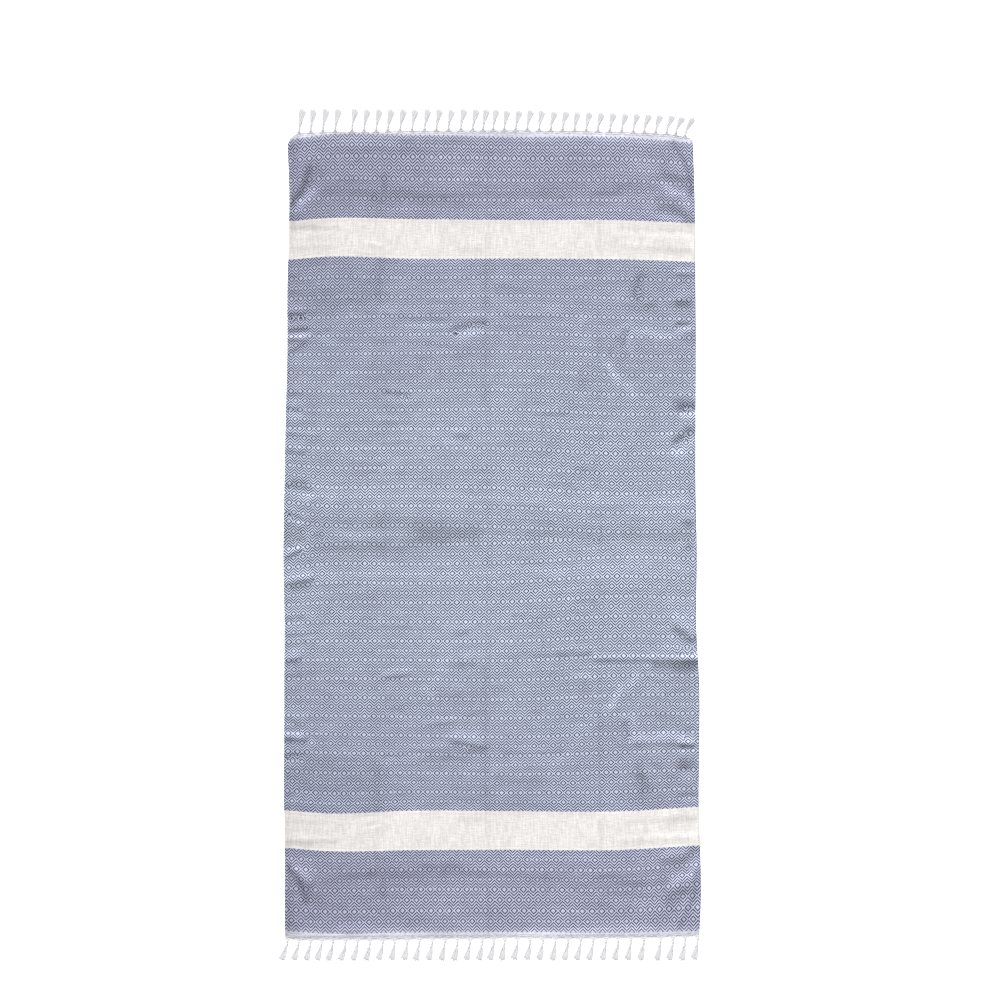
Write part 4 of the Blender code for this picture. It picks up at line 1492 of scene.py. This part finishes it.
# %% Roots, knots and the locking twine
FAN_THREADS, FAN_STEPS, FAN_HALF_WIDTH = 11, 7, 7.5
FAN_RADIUS, FAN_HEIGHT = 0.65, 1.7
FAN_UNEVENNESS, FAN_GATHERED = 0.5, 0.25  # and the share of its width that is left where it ends
FAN_START_IN, FAN_ENDS_OUT = 0.3, (1.0, 3.5)  # from the hem, and from where the twist starts
FAN_BEND_FROM = -0.25
ROOT_OUT = 4.6  # from the hem to where the twist starts
KNOT_STEPS, KNOT_TURNS, KNOT_RADIUS, KNOT_YARN, KNOT_LENGTH = 22, 1.6, 1.5, 0.5, 2.2
KNOT_SHARE, KNOT_AT_STEP = 0.7, 6  # how many tassels have one, and at which step of their yarns
TWINE_STEP, TWINE_RADIUS, TWINE_OUT, TWINE_HEIGHT = 3.0, 0.80, 1.5, 0.95
TWINE_START, TWINE_STOP = 6, 4  # from the corners of the hem
TWINE_TURN, TWINE_SWAY, TWINE_RISE = 9.0, 0.45, 0.4


def fan_threads(root_x, root_y, hem, outward, rng):
    step = np.linspace(0.0, 1.0, FAN_STEPS)[None, :]
    start_x = root_x + FAN_HALF_WIDTH * np.linspace(-1, 1, FAN_THREADS)[:, None]
    start_x = start_x + rng.normal(0, FAN_UNEVENNESS, (FAN_THREADS, 1))
    start_y = hem_at(start_x, hem) - outward * FAN_START_IN
    end_x = root_x + FAN_GATHERED * (start_x - root_x)
    end_y = root_y + outward * rng.uniform(*FAN_ENDS_OUT, (FAN_THREADS, 1))
    x = start_x + (end_x - start_x) * smooth_step(step, FAN_BEND_FROM, 1.0)
    y = start_y + (end_y - start_y) * step
    z = FAN_HEIGHT + (STEM_HEIGHT - FAN_HEIGHT) * step
    return np.stack([x, y, z * np.ones_like(x)], -1), FAN_RADIUS


def knot(middle, outward, rng):
    step = np.linspace(0.0, 1.0, KNOT_STEPS)
    turn = 2 * np.pi * KNOT_TURNS * step + rng.uniform(0, 2 * np.pi)
    x = middle[0] + KNOT_RADIUS * np.cos(turn)
    z = middle[2] + KNOT_RADIUS * np.sin(turn)
    y = middle[1] + outward * (step - 0.5) * KNOT_LENGTH
    return np.stack([x, y, np.maximum(z, KNOT_YARN)], -1)[None], KNOT_YARN


def locking_twine(hem, outward):
    """Two fine plies wound round each other along the hem."""
    x = np.arange(hem[0].x + TWINE_START, hem[-1].x - TWINE_STOP, TWINE_STEP)
    y = hem_at(x, hem) + outward * TWINE_OUT
    lines = []
    for ply in (0, np.pi):
        turn = x * 2 * np.pi / TWINE_TURN + ply
        z = TWINE_HEIGHT + TWINE_RISE * np.sin(turn)
        lines.append(np.stack([x, y + TWINE_SWAY * np.cos(turn), z], -1))
    return np.array(lines), TWINE_RADIUS


# %% One whole fringe
ROOT_JITTER, LEAN_JITTER, TIP_JITTER = 0.4, 0.7, 2.0


def fringe(table, hem, outward, seed):
    rng = np.random.default_rng(seed)
    work = YarnWork()
    numbers = column(table, "number")
    for number in range(TASSELS):
        root_x = np.interp(number, numbers, column(table, "root")) + rng.normal(0, ROOT_JITTER)
        lean = np.interp(number, numbers, column(table, "lean")) + rng.normal(0, LEAN_JITTER)
        tip_y = np.interp(number, numbers, column(table, "tip"))
        tip_y += outward * rng.uniform(0.0, TIP_JITTER)
        root_y = float(hem_at(root_x, hem)) + outward * ROOT_OUT
        yarns, radii = tassel_yarns(root_x, root_y, lean, tip_y, outward, rng)
        work.add(yarns, radii)
        work.add(*fan_threads(root_x, root_y, hem, outward, rng), sides=FAN_SIDES)
        if rng.random() < KNOT_SHARE:
            work.add(*knot(yarns[:, KNOT_AT_STEP].mean(0), outward, rng))
    work.add(*locking_twine(hem, outward))
    return work


# %% The finish of the yarn, and both fringes
YARN_LIGHT = (0.495, 0.495, 0.505, 1)
YARN_SHADE = (0.465, 0.465, 0.485, 1)
YARN_UNEVENNESS, YARN_SHADES = 0.12, (0.93, 1.07)
YARN_BUMP = {"Distance": 0.0001, "Strength": 0.5}
YARN_SURFACE = {
    "Roughness": 0.9,
    "Specular IOR Level": 0.1,
    "Emission Color": (0.97, 0.97, 1.0, 1),  # painted light: a glow standing in for light through thin yarn from the white floor
    "Emission Strength": 0.25,
}


def yarn_finish(name):
    material, wiring, shader = new_finish(name, YARN_SURFACE)
    parts = wiring.parts(wiring.node("ShaderNodeTexCoord").outputs["Object"])
    across = wiring.math("MULTIPLY", parts["X"], 1 / MM)
    along = wiring.math("MULTIPLY", parts["Y"], 1 / MM)
    cotton = use_group(wiring, spun_cotton, Along=along, Across=across, Unevenness=YARN_UNEVENNESS)
    shade = wiring.ramp(cotton["Shade"], *YARN_SHADES)
    wiring.feed(shader.inputs["Base Color"], wiring.mix(shade, YARN_SHADE, YARN_LIGHT))
    bump = wiring.node("ShaderNodeBump", {"Height": cotton["Fuzz"], **YARN_BUMP})
    wiring.feed(shader.inputs["Normal"], bump.outputs["Normal"])
    return material


pale_yarn = yarn_finish("pale_yarn")
fringe_far = fringe(FAR_FRINGE, FAR_HEM, 1, seed=11).piece("fringe_far_yarn", pale_yarn)
fringe_near = fringe(NEAR_FRINGE, NEAR_HEM, -1, seed=29).piece("fringe_near_yarn", pale_yarn)
for piece in (fringe_far, fringe_near):
    triangles = sum(len(face.vertices) - 2 for face in piece.data.polygons)
    print(piece.name, "triangles:", triangles)

# %% [markdown]
# ## Loose ends
#
# Two thread ends have come away at the right-hand selvedge. They are single yarns, curled where
# they sprang back.

# %% Two loose threads
LoosePoint = namedtuple("LoosePoint", "x y z")
UPPER_END = [
    LoosePoint(444, 694, 1.2),
    LoosePoint(449, 693, 1.6),
    LoosePoint(453, 690, 1.2),
    LoosePoint(456, 686, 0.7),
    LoosePoint(455, 681, 0.6),
]
LOWER_END = [
    LoosePoint(458, -684, 1.0),
    LoosePoint(462, -683, 1.4),
    LoosePoint(466, -681, 0.8),
    LoosePoint(470, -682, 0.6),
    LoosePoint(472, -686, 0.6),
]
LOOSE_STEPS, LOOSE_RADIUS = 24, 0.5

loose_work = YarnWork()
for table in (UPPER_END, LOWER_END):
    places = np.arange(len(table), dtype=float)
    at = np.linspace(0, len(table) - 1, LOOSE_STEPS)
    line = np.stack([curve_through(at, places, column(table, name)) for name in ("x", "y", "z")], -1)
    loose_work.add(line[None], LOOSE_RADIUS)
loose_threads = loose_work.piece("loose_threads", pale_yarn)
print("faces of the loose threads:", len(loose_threads.data.polygons))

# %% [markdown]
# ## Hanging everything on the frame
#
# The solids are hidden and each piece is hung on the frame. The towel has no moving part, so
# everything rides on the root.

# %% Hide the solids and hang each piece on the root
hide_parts("towel_cloth")
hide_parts("fringe_far")
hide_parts("fringe_near")
for piece in (woven_cloth, fringe_far, fringe_near, loose_threads):
    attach(piece, "root")

# %% [markdown]
# ## Floor, light and camera
#
# The towel is seen from straight above on white. A long lens from five metres up keeps the corners
# free of perspective. The light is one broad soft source from the upper left and an even white
# room, so creases show but throw no hard shadows.

# %% Floor
FLOOR_HALF, FLOOR_DROP = 60.0, 0.0002
FLOOR_SURFACE = {
    "Base Color": (0.95, 0.95, 0.95, 1),
    "Emission Color": (1, 1, 1, 1),
    "Emission Strength": 0.7,
    "Roughness": 1.0,
    "Specular IOR Level": 0.0,
}
corner_signs = ((-1, -1), (1, -1), (1, 1), (-1, 1))
floor_corners = [(x * FLOOR_HALF, y * FLOOR_HALF, -FLOOR_DROP) for x, y in corner_signs]
floor_mesh = bpy.data.meshes.new("pale_floor")
floor_mesh.from_pydata(floor_corners, [], [(0, 1, 2, 3)])
floor_mesh.materials.append(new_finish("pale_floor", FLOOR_SURFACE)[0])
pale_floor = bpy.data.objects.new("pale_floor", floor_mesh)
bpy.context.scene.collection.objects.link(pale_floor)

# %% Light
ROOM_STRENGTH = 0.46
KEY_STRENGTH, KEY_SPREAD = 4.5, 0.6
KEY_FROM = Vector((-0.26, 0.84, 0.47))  # towards the light
PIXEL_BLUR = 1.2

world = bpy.data.worlds.new("white_room")
bpy.context.scene.world = world
world.use_nodes = True
world.node_tree.nodes["Background"].inputs["Color"].default_value = (1, 1, 1, 1)
world.node_tree.nodes["Background"].inputs["Strength"].default_value = ROOM_STRENGTH
key_light = bpy.data.lights.new("soft_key", "SUN")
key_light.energy = KEY_STRENGTH
key_light.angle = KEY_SPREAD
key = bpy.data.objects.new("soft_key", key_light)
key.rotation_euler = KEY_FROM.to_track_quat("Z", "Y").to_euler()
bpy.context.scene.collection.objects.link(key)
bpy.context.scene.view_settings.view_transform = "Standard"
bpy.context.scene.cycles.use_denoising = False  # it would smooth the weave away
bpy.context.scene.cycles.filter_width = PIXEL_BLUR

# %% Camera
VIEW_WIDTH = 2.19  # what the picture takes in, in metres
LENS, FILM = 85.0, 36.0
PICTURE_MIDDLE = (0.0211, 0.0756)

camera_data = bpy.data.cameras.new("above")
camera_data.lens, camera_data.sensor_width = LENS, FILM
camera = bpy.data.objects.new("above", camera_data)
camera.location = (*PICTURE_MIDDLE, VIEW_WIDTH * LENS / FILM)
bpy.context.scene.collection.objects.link(camera)
bpy.context.scene.camera = camera
